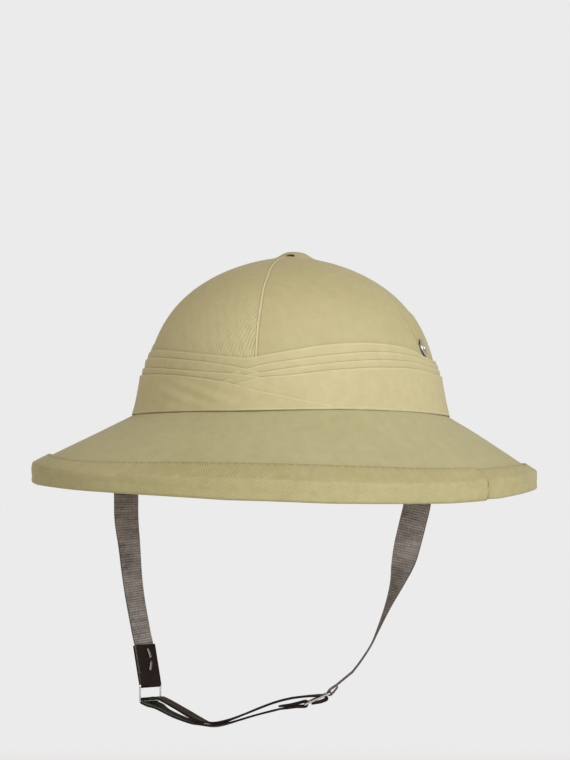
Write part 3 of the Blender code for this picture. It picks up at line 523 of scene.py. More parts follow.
def closed_ends(points, axis):
    """A tube's grid with one more row at each end along the axis: the end row drawn in to its own middle."""
    points = np.moveaxis(points, axis, 0)
    first, last = (np.repeat(points[[i]].mean(axis=1, keepdims=True), points.shape[1], axis=1)
                   for i in (0, -1))
    return np.moveaxis(np.concatenate((first, points, last)), 0, axis)


surface("bias_edge_binding", closed_ends(np.concatenate((outer, inner[::-3])), 1), binding_drill, "cotton",
        close_along=True, uv=uv, attributes={"pucker_and_painted_sheen": 0.0, "line": line}, replaces=("edge_binding",))


# ---- Pugree
# A long cotton scarf folded lengthwise and wound round the crown's foot: three pleats and a plain band, each
# tucked behind the next, so that every pleat shows its soft folded upper edge. Its ends cross at the front.

PUGREE_LINES = (
    # bearing, then heights in millimetres: the top pleat's fold, those of the two pleats below, the band's
    (-122, 29.0, 10.0, 7.0, 0.0),
    (-108, 29.0, 15.5, 12.0, 7.6),
    (-98, 29.0, 19.6, 16.4, 12.2),
    (-92, 29.0, 22.4, 18.8, 14.9),
    (-85.5, 30.6, 25.0, 20.3, 17.4),
    (-80, 32.0, 26.4, 21.8, 18.0),
    (-60, 37.0, 30.8, 26.0, 21.6),
    (-40, 38.5, 33.2, 28.3, 23.7),
    (-20, 36.0, 31.8, 27.8, 23.6),
    (-6, 31.6, 28.8, 25.4, 21.6),
    (30, 31.6, 28.6, 25.0, 21.0),
    (90, 35.0, 30.0, 25.5, 21.0),
    (180, 32.0, 29.0, 25.2, 21.0),
    (186, 31.6, 28.8, 25.2, 21.0),
    (210, 36.0, 31.4, 25.4, 21.0),
    (240, 33.2, 28.7, 22.6, 19.0),
    (255, 30.8, 26.2, 20.7, 16.2),
    (264, 29.6, 23.9, 19.6, 13.5),
    (268, 29.0, 22.6, 18.9, 11.8),
    (273.5, 29.0, 20.2, 17.3, 9.3),
    (280, 29.0, 17.0, 15.0, 7.4),
    (287.5, 29.0, 13.5, 11.5, 4.7),
    (294.5, 29.0, 10.0, 8.0, 2.6),
    (300, 29.0, 7.0, 5.0, 1.0),
)
PUGREE_STANDS = (
    # how far off the crown a layer lies, in millimetres: all round, and right and left of the crossing
    (1.20, 1.45, 1.45),
    (1.70, 1.90, 2.10),
    (2.20, 2.40, 2.80),
    (3.10, 2.95, 3.80),
)
PLEAT_THICKNESS, PLEAT_LEAN, TUCKED = 0.50 * MM, 0.34 * MM, 2.6 * MM
SCARF_RADIUS = 103 * MM     # at which the scarf's weave is laid out
TOP_PLEAT, BAND = 0, 3      # layers


def off_crown(bearing, height, distance):
    """Point at a height and square distance off the crown's cloth, on a wall that goes plumb below 0."""
    above = np.maximum(height, 0.0)
    rise = crown_point(bearing, above + MM) - crown_point(bearing, above)
    level = crown_point(bearing + 0.01, above) - crown_point(bearing - 0.01, above)
    off = (distance + side_swell(bearing, height) * MM)[..., None]
    return crown_point(bearing, height) + unit(np.cross(level, rise)) * off


def pleat(name, layer, material):
    """One layer: outer face up to its rounded fold, over it and down again inside, swept by bearing.

    The outer face leans out to its fold. The band's face also has soft folds that slant down to the crossing.
    """
    plain, closed = layer == BAND, layer == TOP_PLEAT
    degrees = np.linspace(-92.0, 268.0, ROUND, endpoint=False) if closed else np.linspace(-121.0, 299.0, 760)
    bearings = np.radians(degrees)
    top = through(PUGREE_LINES, layer + 1, degrees) * MM
    if plain:
        sideways = np.cos(bearings)
        out = 0.056 + 0.018 * sideways ** 2 + 0.010 * np.maximum(sideways, 0.0) ** 2
        below = brim_point(bearings, out)[..., 2] + 0.25 * MM
        next_fold = below - 2 * MM
        share = np.linspace(0.0, 1.0, 30)[:, None]
    else:
        next_fold = through(PUGREE_LINES, layer + 2, degrees) * MM
        below = np.minimum(top - 1.0 * MM, next_fold - TUCKED)
        share = np.linspace(0.0, 1.0, 14)[:, None] ** 0.9
    radius = PLEAT_THICKNESS / 2
    heights_out = below + (top - radius - below) * share
    from_top = top - heights_out
    base, right, left = PUGREE_STANDS[layer]
    near_right, near_left = hump(degrees, -90.0, 24.0), hump(degrees, 270.0, 24.0)
    stand = (base + (right - base) * near_right + (left - base) * near_left) * MM
    # Where a wrap starts or ends it lies flat under the other one
    if layer:
        stand = stand - 1.3 * MM * (1.0 - smooth_step(degrees, -121.0, -100.0))
    if layer in (1, 2):
        stand = stand - 1.3 * MM * smooth_step(degrees, 272.0, 286.0)
    lean_out = PLEAT_LEAN * np.exp(-from_top / (1.6 * MM))
    if not plain:
        lean_out = lean_out - PLEAT_LEAN * smooth_step(from_top, 1.5 * MM, 6.0 * MM)
    drift = 0.10 * MM * np.sin(bearings * 9 + layer) + 0.06 * MM * np.sin(bearings * 23 + 2 * layer)
    soft = 0.0
    if plain:
        slant = heights_out / MM + 0.30 * (degrees - 232.0) * 1.75
        patch = hump(degrees, 247.0, 20.0) + 0.5 * hump(degrees, -55.0, 30.0)
        soft = 0.30 * MM * np.sin(slant * 2 * np.pi / 8.5) * patch * np.sin(np.pi * share)
        soft = soft + 0.12 * MM * np.sin(np.pi * share) * np.sin(bearings * 14)
        # The foot flares onto the brim, most at the sides
        soft = soft + (0.2 + 1.1 * np.cos(bearings) ** 2) * MM * np.exp(-(heights_out - below) / (3.5 * MM))
    face = stand + lean_out + drift + soft
    turns = np.linspace(0.0, np.pi, 9)[1:-1, None]
    fold_heights = top - radius + radius * np.sin(turns)
    fold_stand = face[-1] - radius + radius * np.cos(turns)
    heights_all = np.concatenate((heights_out, fold_heights, heights_out[::-2]))
    stand_all = np.concatenate((face, fold_stand, face[::-2] - 2 * radius))
    bearing_all = np.broadcast_to(bearings, heights_all.shape)
    points = off_crown(bearing_all, heights_all, stand_all)
    if plain:
        hem_out = off_crown(bearings, below - 0.22 * MM, face[0] - 0.25 * MM)
        hem_in = off_crown(bearings, below, face[0] - 0.6 * MM)
        points = np.concatenate(([hem_in, hem_out], points))
        heights_all = np.concatenate(([below, below], heights_all))
    # A fold's rounded edge gets a painted highlight, and the cloth just above the next fold a painted shade
    line = (0.45 * hump(heights_all, top - 0.25 * MM, 0.55 * MM)
            - 0.58 * hump(heights_all, next_fold + 0.10 * MM, 0.42 * MM))
    if plain:
        # The band's rolled hem gets a painted highlight, and a fine painted shade line at its foot on the brim
        line = line + 0.4 * hump(heights_all, below + 0.5 * MM, 0.5 * MM)
        line = line - 0.35 * hump(heights_all, below, 0.22 * MM)
    uv = np.stack((np.broadcast_to(bearings * SCARF_RADIUS, heights_all.shape), heights_all), axis=-1)
    uv_next = uv + (SCARF_RADIUS * 2 * np.pi / ROUND, 0.0) if closed else None
    return surface(name, points, material, "band_cotton", close_across=closed, close_along=True, uv=uv,
                   uv_next=uv_next, attributes={"pucker_and_painted_sheen": 0.0, "line": line}, replaces=("pugree",))


scarf_cotton = drill("khaki_cotton_scarf", "#c3b991", "#a99e73", TWILL_PITCH, 0.9, 0.28, 0.76)
for layer, part in enumerate(("top_pleat", "upper_pleat", "lower_pleat", "band")):
    pleat("pugree_" + part, layer, scarf_cotton)


# ---- Vent cap
# A button covered in the same drill, glued over the crown's vent hole on a stem. Its edge flares out flat on
# the crown, and a small mouth at the front lets the air out.

CAP_RADIUS, CAP_TOP, CAP_FLARE, CAP_OFFSET = 12.6 * MM, 97.8 * MM, 1.75, np.array((2.4 * MM, 0.0))
MOUTH_BEARING, MOUTH_REACH = np.radians(-95.0), 9.9 * MM
MOUTH_HALF_WIDTH, MOUTH_HALF_HEIGHT = 2.8 * MM, 0.95 * MM
BROW_RISE, POCKET_DROP, POCKET_BACK = 0.45 * MM, 0.9 * MM, 2.6 * MM


def crown_height_at(across):
    """Height of the crown's top at a plan place: where its girth is that of the ellipse through the place."""
    wanted = np.linalg.norm(across / (CROWN_HALF_WIDTH, CROWN_HALF_LENGTH), axis=-1)
    heights = np.linspace(80.0 * MM, CROWN_RISE, FINE_STEPS)
    girths = crown_point(np.zeros_like(heights), heights)[:, 0] / CROWN_HALF_WIDTH
    return np.interp(wanted, girths[::-1], heights[::-1])


turn = np.linspace(0.0, 2 * np.pi, 320, endpoint=False)
reach = np.concatenate((np.linspace(0.0, 1.0, 90), [1.0, 0.9]))[:, None]
radii = CAP_RADIUS * np.maximum(reach, 1e-4)
plan = CAP_OFFSET + np.stack((radii * np.cos(turn), radii * np.sin(turn)), axis=-1)
cloth = crown_height_at(plan)
rise = (1.0 + np.cos(np.pi * reach ** CAP_FLARE)) / 2
high = cloth + (CAP_TOP - cloth.max()) * rise + 0.25 * MM * (1.0 - rise)
high[-2:] = cloth[-2:] - 0.5 * MM
sideways = radii * np.sin(turn - MOUTH_BEARING)
forward = radii * np.cos(turn - MOUTH_BEARING)
# The mouth is a slit under a raised brow: the cloth inside it is drawn back towards the cap's middle and down
brow = hump(sideways, 0.0, 3.3 * MM) * hump(forward, MOUTH_REACH - 1.3 * MM, 1.3 * MM)
slit = np.sqrt(np.clip(1.0 - (sideways / MOUTH_HALF_WIDTH) ** 2, 0.0, 1.0))
inside = np.clip(1.0 - np.abs(forward - MOUTH_REACH) / MOUTH_HALF_HEIGHT, 0.0, 1.0) * slit
pocket = smooth_step(inside, 0.0, 0.5)
high = high + BROW_RISE * brow - POCKET_DROP * pocket
back = POCKET_BACK * pocket[..., None] * np.array((np.cos(MOUTH_BEARING), np.sin(MOUTH_BEARING)))
cap_points = np.concatenate((plan - back, high[..., None]), axis=-1)
# The mouth's inside is painted dark, as the shade in the slit
mouth_painted_shade = -1.6 * smooth_step(inside, 0.0, 0.25)
cap_drill = drill("khaki_cotton_drill_cap", "#b9b087", "#a0966b", TWILL_PITCH, TWILL_TURN, 0.30, 0.82)
surface("covered_vent_cap", cap_points[:, ::-1], cap_drill, "cotton", close_across=True, uv=plan[:, ::-1],
        attributes={"pucker_and_painted_sheen": 0.0, "line": mouth_painted_shade[:, ::-1]}, replaces=("vent_cap",))


# ---- Eyelets
# Nickel-plated brass vent eyelets beside the side seams: a thin barrel through cloth and pith, its rim rolled
# over the cloth. Bright, with soft wear.

EYELET_BEARINGS, EYELET_HEIGHT = {"eyelet_right": -6.0, "eyelet_left": 186.0}, 37.7 * MM
EYELET_BORE, EYELET_RIM, EYELET_ROLL, EYELET_REACH = 3.3 * MM, 5.7 * MM, 0.8 * MM, 7.0 * MM
EYELET_WALL, EYELET_STAND = 0.5 * MM, 0.55 * MM
EYELET_TURN = np.radians(6.0)     # how far it faces back from square to the crown
PIN_POINT = 0.0001 * MM           # radius at which a turned piece closes on its axis


def plated(name, colour, rough):
    """Metal of one grey, bright or dull by its roughness, with cloudy wear about 1.4 mm across."""
    made, tree, shader = new_material(name)
    whole = add(tree, "TexCoord", {}).outputs["Object"]
    cloud = add(tree, "TexNoise", {"Vector": whole, "Scale": 700.0, "Detail": 4.0})
    dull = add(tree, "MapRange", {"Value": cloud.outputs["Fac"], "To Min": rough * 0.7,
                                  "To Max": rough * 1.6})
    scuff = add(tree, "Bump", {"Strength": 0.12, "Distance": 0.1 * MM, "Height": cloud.outputs["Fac"]})
    tree.links.new(dull.outputs["Result"], shader.inputs["Roughness"])
    tree.links.new(scuff.outputs["Normal"], shader.inputs["Normal"])
    shader.inputs["Base Color"].default_value = linear(colour)
    shader.inputs["Metallic"].default_value = 1.0
    return made


def turned(name, profile, axes, material, slot, replaces, sides=64):
    """Profile of (radius, height) carried round an axis: cosine and sine of the turn times the radius."""
    profile = np.array(profile)
    turn = np.linspace(0.0, 2 * np.pi, sides, endpoint=False)
    centre, across, along, axis = axes
    radii, heights = profile.T[:, :, None, None]
    outwards = np.cos(turn)[:, None] * across + np.sin(turn)[:, None] * along
    points = centre + heights * axis + radii * outwards
    return surface(name, points[::-1], material, slot, close_across=True, replaces=replaces)


def arc(centre, radius, first, last, count):
    """Points round part of a circle, from the first to the last angle in degrees."""
    angles = np.radians(np.linspace(first, last, count))
    return np.stack((centre[0] + radius * np.cos(angles), centre[1] + radius * np.sin(angles)), axis=-1)


def punch(sheet, centre, outward, radius):
    """Cuts a round hole through a sheet: its mesh less a short cylinder along the outward way."""
    bm = bmesh.new()
    bmesh.ops.create_cone(bm, cap_ends=True, segments=48, radius1=radius, radius2=radius, depth=8.0 * MM)
    mesh = bpy.data.meshes.new("punch")
    bm.to_mesh(mesh)
    bm.free()
    cutter = bpy.data.objects.new("punch", mesh)
    bpy.context.scene.collection.objects.link(cutter)
    cutter.matrix_world = Matrix.LocRotScale(centre, Vector(outward).to_track_quat("Z", "Y"), None)
    cut = sheet.modifiers.new("punch", "BOOLEAN")
    cut.operation, cut.solver, cut.object = "DIFFERENCE", "EXACT", cutter
    whole = sheet.data
    sheet.data = bpy.data.meshes.new_from_object(sheet.evaluated_get(bpy.context.evaluated_depsgraph_get()))
    sheet.data.name = whole.name
    sheet.modifiers.remove(cut)
    bpy.data.objects.remove(cutter)
    for spent in (mesh, whole):
        bpy.data.meshes.remove(spent)


nickel = plated("nickel_plated_brass", "#c9c9c6", 0.22)
for name, degrees in EYELET_BEARINGS.items():
    spot = np.radians([degrees])
    height = np.array([EYELET_HEIGHT])
    point = off_crown(spot, height, np.zeros(1))[0]
    outward = unit(off_crown(spot, height, np.array([MM]))[0] - point)
    level = unit(np.cross(UP, outward))
    outward = unit(outward + level * np.tan(EYELET_TURN) * np.sign(outward[0]))
    level = unit(np.cross(UP, outward))
    stand = point + outward * EYELET_STAND
    roll = (EYELET_RIM - EYELET_BORE) / 2
    rim = arc((EYELET_BORE + roll, 0.0), roll, 0.0, 180.0, 14) * (1.0, EYELET_ROLL / roll)
    profile = np.concatenate((
        ((EYELET_RIM - EYELET_WALL, -0.25 * MM),), rim, ((EYELET_BORE, -EYELET_REACH),),
        ((EYELET_BORE + EYELET_WALL, -EYELET_REACH), (EYELET_BORE + EYELET_WALL, -0.3 * MM)),
    ))
    axes = (stand, level, np.cross(outward, level), outward)
    turned(name + "_nickel", profile, axes, nickel, "nickel", (name,))
    punch(crown_cover, point, outward, EYELET_BORE + 0.7 * MM)


# ---- Webbing
# Two lengths of ribbed cotton webbing, 16 mm wide, riveted under the brim: a dark warp crossed by thick
# grey-brown weft, so that it shows even cross ribs, with firm dark selvedges.

WEBBING_WIDTH, WEBBING_THICKNESS, WEBBING_CORNER = 16.0 * MM, 1.0 * MM, 0.42 * MM
RIB, RIB_HEIGHT, WARP, WEBBING_STEP = 1.5 * MM, 0.05 * MM, 0.9 * MM, 0.25 * MM
WEBBING_LEFT = (
    # x, y, z in millimetres, then its width's heading and rise in degrees, from the bend under the brim down
    (-89.2, -49.6, -20.0, 24, 20),
    (-90.0, -48.8, -28.0, 28, 9),
    (-90.8, -48.2, -38.0, 36, 1),
    (-90.9, -48.0, -50.1, 40, 0),
    (-90.7, -48.0, -65.1, 42, 0),
    (-88.9, -48.0, -81.3, 51, 0),
    (-87.2, -48.0, -98.7, 58, 0),
    (-85.2, -47.6, -113.7, 61, 0),
    (-81.6, -47.6, -132.8, 62, 0),
)
WEBBING_RIGHT = (
    (89.0, -49.8, -20.5, 157, 20),
    (89.4, -48.9, -28.5, 168, 9),
    (89.0, -48.3, -40.0, 181, 1),
    (87.1, -48.0, -55.4, 187, 0),
    (84.5, -48.2, -66.6, 186, 0),
    (81.7, -49.0, -78.4, 180, 0),
    (79.4, -50.2, -88.9, 164, 0),
    (75.9, -52.2, -101.9, 133, 0),
    (70.8, -54.2, -115.4, 113, 0),
    (65.4, -56.2, -128.8, 104, 0),
    (61.3, -57.4, -138.2, 101, 0),
    (55.6, -58.8, -147.4, 101, 0),
    (50.6, -59.9, -154.1, 101, 0),
)
# Round a bar, in millimetres from its centre: away along the strap, and square to it
WEBBING_LEAD = ((12.5, 0.30), (9.0, 0.48), (5.2, 0.67), (2.6, 1.15))
WEBBING_LAP = ((2.6, -1.15), (5.2, -0.67))
WEBBING_IN_TAB = (23.0, 17.0, 12.0, 7.0)
FLAT_TURN_Y, FLAT_LENGTH, FLAT_OUTBOARD, FLAT_CLEAR = -42.6 * MM, 23 * MM, 8.5 * MM, 0.7 * MM
BEND_RADIUS = 4 * MM
ARC_START, ARC_END, ARC_TURN = np.array((-75.5, -50.0)) * MM, np.array((24.0, -65.3)) * MM, np.radians(39.0)
# A place on the arc is along it and height, in millimetres, and the twist that lifts its far edge, in degrees
PLACE_UNITS = np.array((MM, MM, np.pi / 180.0))
RING_LOWER_BAR, SLIDE_LOWER_BAR = (0.3, -173.4, 0), (102.0, -172.9, 0)
RING_BARS, SLIDE_BARS, SLIDE_SLOPE = 9.6 * MM, 16.1 * MM, np.radians(24.8)
WIRE, WIRE_CORNER, LOOP_INNER_WIDTH = 1.2 * MM, 1.0 * MM, 16.6 * MM


def arc_place(places):
    """World points of places on the plan arc on which the chin strap hangs, and its width's way there."""
    along, height, twist = (np.atleast_2d(places) * PLACE_UNITS).T
    chord = ARC_END - ARC_START
    bow = np.linalg.norm(chord) / 2 / np.sin(ARC_TURN / 2)
    first = np.arctan2(chord[1], chord[0]) - ARC_TURN / 2
    heading = first + along / bow
    points = np.stack((ARC_START[0] + bow * (np.sin(heading) - np.sin(first)),
                       ARC_START[1] - bow * (np.cos(heading) - np.cos(first)), height), axis=-1)
    level = np.stack((-np.sin(heading), np.cos(heading), 0.0 * heading), axis=-1)
    return points, level * np.cos(twist)[:, None] + UP * np.sin(twist)[:, None]


def loop_frame(lower_bar, slope):
    """A wire loop's lower bar: its middle, its width's way, and the way to its upper bar."""
    point, way = (values[0] for values in arc_place(lower_bar))
    level = np.array((way[1], -way[0], 0.0))
    return point, way, level * np.cos(slope) + UP * np.sin(slope)


def smooth_rows(rows, steps):
    """Cubic over each span of a table's rows, which leaves and arrives along the chord of its neighbours."""
    table = np.array(rows, dtype=float)
    padded = np.concatenate((2 * table[:1] - table[1:2], table, 2 * table[-1:] - table[-2:-1]))
    a, b, c, d = (padded[i:len(padded) - 3 + i][:, None] for i in range(4))
    t = (np.arange(steps) / steps)[None, :, None]
    spans = b + ((c - a) * t + (2 * a - 5 * b + 4 * c - d) * t ** 2 + (3 * b - a - 3 * c + d) * t ** 3) / 2
    return np.concatenate((spans.reshape(-1, table.shape[1]), table[-1:]))


def evenly(middle, ways, step):
    """The same path and width directions at even steps along it, and the run to each step."""
    run = run_along(middle)
    even = np.linspace(0.0, run[-1], int(run[-1] / step))
    both = np.concatenate((middle, ways), axis=1)
    both = np.stack([np.interp(even, run, column) for column in both.T], axis=-1)
    return both[:, :3], both[:, 3:], even


def eased(values, times):
    """Each value drawn towards its neighbours' mean, several times, with the ends kept."""
    for _ in range(times):
        values[1:-1] = values[1:-1] / 2 + (values[:-2] + values[2:]) / 4
    return values


def strap(name, middle, ways, width, thickness, material, slot, replaces, step, corner, rib=0.0,
          turned_over=False):
    """Flat strap along a path: its section is a box with rounded long edges, and it may be ribbed across.

    A rib adds a cosine of the run along the path to the half thickness. Attributes: side is 0 on the outer
    face, 1 on the inner, and edge is 1 at the long edges.
    """
    flat_points, round_points = 19, 7
    middle, ways, run = evenly(middle, ways, step)
    middle = eased(middle, 3)
    runs = unit(np.gradient(middle, axis=0))
    ways = unit(ways - runs * np.sum(ways * runs, axis=-1, keepdims=True))
    faces = np.cross(runs, ways)
    half_width, half_thick = width / 2, thickness / 2
    flat = np.linspace(-1.0, 1.0, flat_points) * (half_width - corner)
    bend = np.radians(np.linspace(90.0, -90.0, round_points + 2))[1:-1]
    far_edge = half_width - corner + corner * np.cos(bend)
    over = np.linspace(0.0, 1.0, round_points)
    across = np.concatenate((flat, far_edge, flat[::-1], -far_edge))
    thick = np.concatenate((np.ones_like(flat), np.sin(bend), -np.ones_like(flat), -np.sin(bend)))
    side = np.concatenate((np.zeros_like(flat), over, np.ones_like(flat), over[::-1]))
    edge = np.tile(np.repeat((0.0, 1.0), (flat_points, round_points)), 2)
    ribbed = rib * np.cos(2 * np.pi * run / RIB)[:, None] * (1.0 - (np.abs(across) / half_width) ** 6)
    height = thick * (half_thick + ribbed)
    points = middle[:, None] + ways[:, None] * across[:, None] + faces[:, None] * height[..., None]
    run = np.concatenate((run[:1], run, run[-1:]))
    side = 1.0 - side if turned_over else side
    uv = np.stack(np.broadcast_arrays(across + 0.5 * side * width, run[:, None]), axis=-1)
    return surface(name, closed_ends(points, 0), material, slot, close_across=True, uv=uv,
                   attributes={"side": side, "edge": edge}, replaces=replaces)


def round_bar(frame, places):
    """World points of places away from a bar along its run and square to it."""
    bar, run, way, square = frame
    away, aside = np.asarray(places).T[:, :, None]
    return bar + run * away + square * aside


def bar_frame(loop, bars, target):
    """Axes round a loop's upper bar: its centre, the run away to a target, its width, and square to both."""
    origin, way, rise = loop
    bar = origin + rise * bars
    run = target - bar
    run = unit(run - way * np.dot(run, way))
    return bar, run, way, np.cross(run, way)


def under_brim(y, side):
    """Point on the shell's underside just outboard of the wall at y, the slope outward and the normal up."""
    bearing = np.arctan2(y / CROWN_HALF_LENGTH, side * np.sqrt(1.0 - (y / CROWN_HALF_LENGTH) ** 2))
    wall = crown_point(bearing, 0.2 * MM)
    out = wall * 0.6 + brim_edge(bearing) * 0.4 + 0.57 * MM * UP
    slope = unit(out - wall)
    level = side * (crown_point(bearing + 0.01, 0.0) - crown_point(bearing - 0.01, 0.0))
    normal = unit(np.cross(slope, level)) * side
    return wall + slope * FLAT_OUTBOARD - normal * (COVER_THICKNESS + CLEAR + SHELL_THICKNESS), slope, normal


def webbing_path(side, table, tail, tail_way):
    """Middle of the webbing from its flat end under the brim, round a quarter circle and down its table."""
    flat, flat_ways = [], []
    for share in np.linspace(1.0, 0.0, 9):
        point, slope, normal = under_brim(FLAT_TURN_Y + FLAT_LENGTH * share, side)
        flat.append(point - normal * (FLAT_CLEAR + WEBBING_THICKNESS / 2))
        flat_ways.append(-slope)
    hanging = smooth_rows(table, 10)
    heading, rise = np.radians(hanging[:, 3:]).T
    hanging_ways = np.stack((np.cos(heading) * np.cos(rise), np.sin(heading) * np.cos(rise), np.sin(rise)),
                            axis=1)
    onward = side * unit(np.cross(normal, slope))
    bend = [flat[-1] + BEND_RADIUS * (onward * np.sin(angle) - normal * (1.0 - np.cos(angle)))
            for angle in np.radians(np.linspace(12.0, 90.0, 8))]
    middle = np.concatenate((flat, bend, hanging[:, :3] * MM, tail))
    return middle, np.concatenate((flat_ways, [-slope] * len(bend), hanging_ways, [tail_way] * len(tail)))


ribbed_webbing, tree, shader = new_material("ribbed_cotton_webbing")
cloth_uv = add(tree, "UVMap", {}).outputs["UV"]
cross = add(tree, "SeparateXYZ", {"Vector": cloth_uv})
# The weft ribs are 1.5 mm apart and the warp yarns 0.9 mm, drawn a little coarse so that they show
rib = add(tree, "Math", {0: cross.outputs["Y"], 1: 2 * np.pi / RIB}, operation="MULTIPLY")
rib = add(tree, "Math", {0: rib.outputs[0]}, operation="COSINE")
warp = add(tree, "Math", {0: cross.outputs["X"], 1: 2 * np.pi / WARP}, operation="MULTIPLY")
warp = add(tree, "Math", {0: warp.outputs[0]}, operation="COSINE")
# No two ribs or yarns are alike: patches 17 mm by 2.4 mm along the ribs, and 1.1 mm by 2.9 mm along the warp
each_rib = add(tree, "Mapping", {"Vector": cloth_uv, "Scale": (60.0, 420.0, 1.0)}).outputs["Vector"]
uneven = add(tree, "TexNoise", {"Vector": each_rib, "Scale": 1.0, "Detail": 3.0, "Roughness": 0.6})
each_yarn = add(tree, "Mapping", {"Vector": cloth_uv, "Scale": (900.0, 350.0, 1.0)}).outputs["Vector"]
yarn = add(tree, "TexNoise", {"Vector": each_yarn, "Scale": 1.0, "Detail": 2.0})
# Wear rubs pale patches into it about 13 mm apart, and handling leaves darker ones
rubbed = add(tree, "TexNoise", {"Vector": cloth_uv, "Scale": 75.0, "Detail": 2.0})
level = add(tree, "Math", {0: rib.outputs[0], 1: 0.17, 2: -0.64}, operation="MULTIPLY_ADD")
for pattern, amount in ((warp.outputs[0], 0.13), (uneven.outputs["Fac"], 0.95), (yarn.outputs["Fac"], 0.55),
                        (rubbed.outputs["Fac"], 0.75)):
    level = add(tree, "Math", {0: pattern, 1: amount, 2: level.outputs[0]}, operation="MULTIPLY_ADD")
tone = add(tree, "Mix", {0: level.outputs[0], 6: linear("#3d3330"), 7: linear("#a8a09c")}, data_type="RGBA")
selvedge = add(tree, "Attribute", {}, attribute_name="edge")
selvedge = add(tree, "MapRange", {"Value": selvedge.outputs["Fac"], "To Max": 0.6})
tone = add(tree, "Mix", {0: selvedge.outputs["Result"], 6: tone.outputs[2], 7: linear("#2b221e")},
           data_type="RGBA")
height = add(tree, "Math", {0: yarn.outputs["Fac"], 1: warp.outputs[0]}, operation="ADD")
raised = add(tree, "Bump", {"Strength": 0.5, "Distance": 0.1 * MM, "Height": height.outputs[0]})
tree.links.new(tone.outputs[2], shader.inputs["Base Color"])
tree.links.new(raised.outputs["Normal"], shader.inputs["Normal"])
shader.inputs["Roughness"].default_value = 0.9
shader.inputs["Sheen Weight"].default_value = 0.1

ring_loop, slide_loop = loop_frame(RING_LOWER_BAR, np.pi / 2), loop_frame(SLIDE_LOWER_BAR, SLIDE_SLOPE)
tab_frame = bar_frame(ring_loop, RING_BARS, np.array(WEBBING_LEFT[-1][:3]) * MM)
in_tab = [(away * MM, 0.0) for away in WEBBING_IN_TAB]
fold_frame = bar_frame(slide_loop, SLIDE_BARS, np.array(WEBBING_RIGHT[-1][:3]) * MM)
wrap = (WIRE + WEBBING_THICKNESS) / 2 + CLEAR
fold = np.concatenate((np.array(WEBBING_LEAD) * MM, arc((0.0, 0.0), wrap, 75.0, 285.0, 12),
                       np.array(WEBBING_LAP) * MM))
# The ribs stand up from a core a little thinner than the webbing
for name, side, table, bar, tail in (("left", -1.0, WEBBING_LEFT, tab_frame, in_tab),
                                     ("right", 1.0, WEBBING_RIGHT, fold_frame, fold)):
    middle, ways = webbing_path(side, table, round_bar(bar, tail), bar[2])
    strap("ribbed_webbing_" + name, middle, ways, WEBBING_WIDTH, WEBBING_THICKNESS * 0.94, ribbed_webbing,
          "webbing", ("webbing_" + name,), WEBBING_STEP, WEBBING_CORNER, RIB_HEIGHT)


# ---- Rivets under the brim
# One plain steel rivet holds each webbing to the shell: a low domed head, hidden when the hat is worn.

ANCHOR_RADIUS, ANCHOR_HEAD, ANCHOR_SHANK, ANCHOR_REACH = 4.0 * MM, 1.0 * MM, 1.4 * MM, 4.0 * MM

# Drawn and polished, so that its highlights are small and bright
bright_steel = plated("polished_steel_wire", "#cfd0d0", 0.16)
for name, side in (("strap_anchor_left", -1.0), ("strap_anchor_right", 1.0)):
    point, slope, normal = under_brim(FLAT_TURN_Y + FLAT_LENGTH / 2, side)
    seat = WEBBING_THICKNESS / 2 + CLEAR * 0.6
    head = arc((0.0, 0.0), 1.0, 0.0, 90.0, 10) * (ANCHOR_RADIUS, ANCHOR_HEAD) + (0.0, seat)
    shank = ((PIN_POINT, -ANCHOR_REACH), (ANCHOR_SHANK, -ANCHOR_REACH), (ANCHOR_SHANK, seat))
    profile = np.concatenate((shank, head))
    profile[-1, 0] = PIN_POINT
    across = unit(np.cross(normal, (0.0, 1.0, 0.0)))
    middle = point - normal * (FLAT_CLEAR + WEBBING_THICKNESS / 2)
    turned(name + "_rivet", profile[::-1], (middle, across, np.cross(-normal, across), -normal), bright_steel,
           "steel", (name,), 40)


# ---- Ring and slide
# Two rectangular loops bent from bright steel wire, 1.2 mm thick: a short one that the leather tab holds, and
# a longer one at the right webbing's end, through which the chin strap is doubled.


def wire_loop(name, loop, bars, node):
    """Round wire along a rectangle with rounded corners: a circle's cosine and sine carried along it."""
    origin, way, rise = loop
    half = (LOOP_INNER_WIDTH + WIRE) / 2
    corners = ((half, bars, 0.0), (-half, bars, 90.0), (-half, 0.0, 180.0), (half, 0.0, 270.0))
    outline = []
    for x, y, first in corners:
        inset = np.array((x - np.copysign(WIRE_CORNER, x), y - WIRE_CORNER if y else WIRE_CORNER))
        outline.append(arc(inset, WIRE_CORNER, first, first + 90.0, 9))
    outline = np.concatenate(outline)
    ahead = unit(np.roll(outline, -1, axis=0) - np.roll(outline, 1, axis=0))
    outward = np.stack((ahead[:, 1], -ahead[:, 0]), axis=-1)
    turn = np.linspace(0.0, 2 * np.pi, 20, endpoint=False)
    flat = outline[:, None] + WIRE / 2 * np.cos(turn)[:, None] * outward[:, None]
    points = (origin + flat[..., :1] * way + flat[..., 1:] * rise
              + WIRE / 2 * np.sin(turn)[:, None] * np.cross(way, rise))
    surface(name, points, bright_steel, "steel", close_across=True, close_along=True, replaces=(node,))


wire_loop("steel_ring", ring_loop, RING_BARS, "strap_ring")
wire_loop("steel_slide", slide_loop, SLIDE_BARS, "strap_slide")


# ---- Leather tab and split rivet
# A dark brown cowhide tab folded round the ring and over the webbing's end. A split rivet goes through all
# three, and its two legs are spread flat on the inner face.

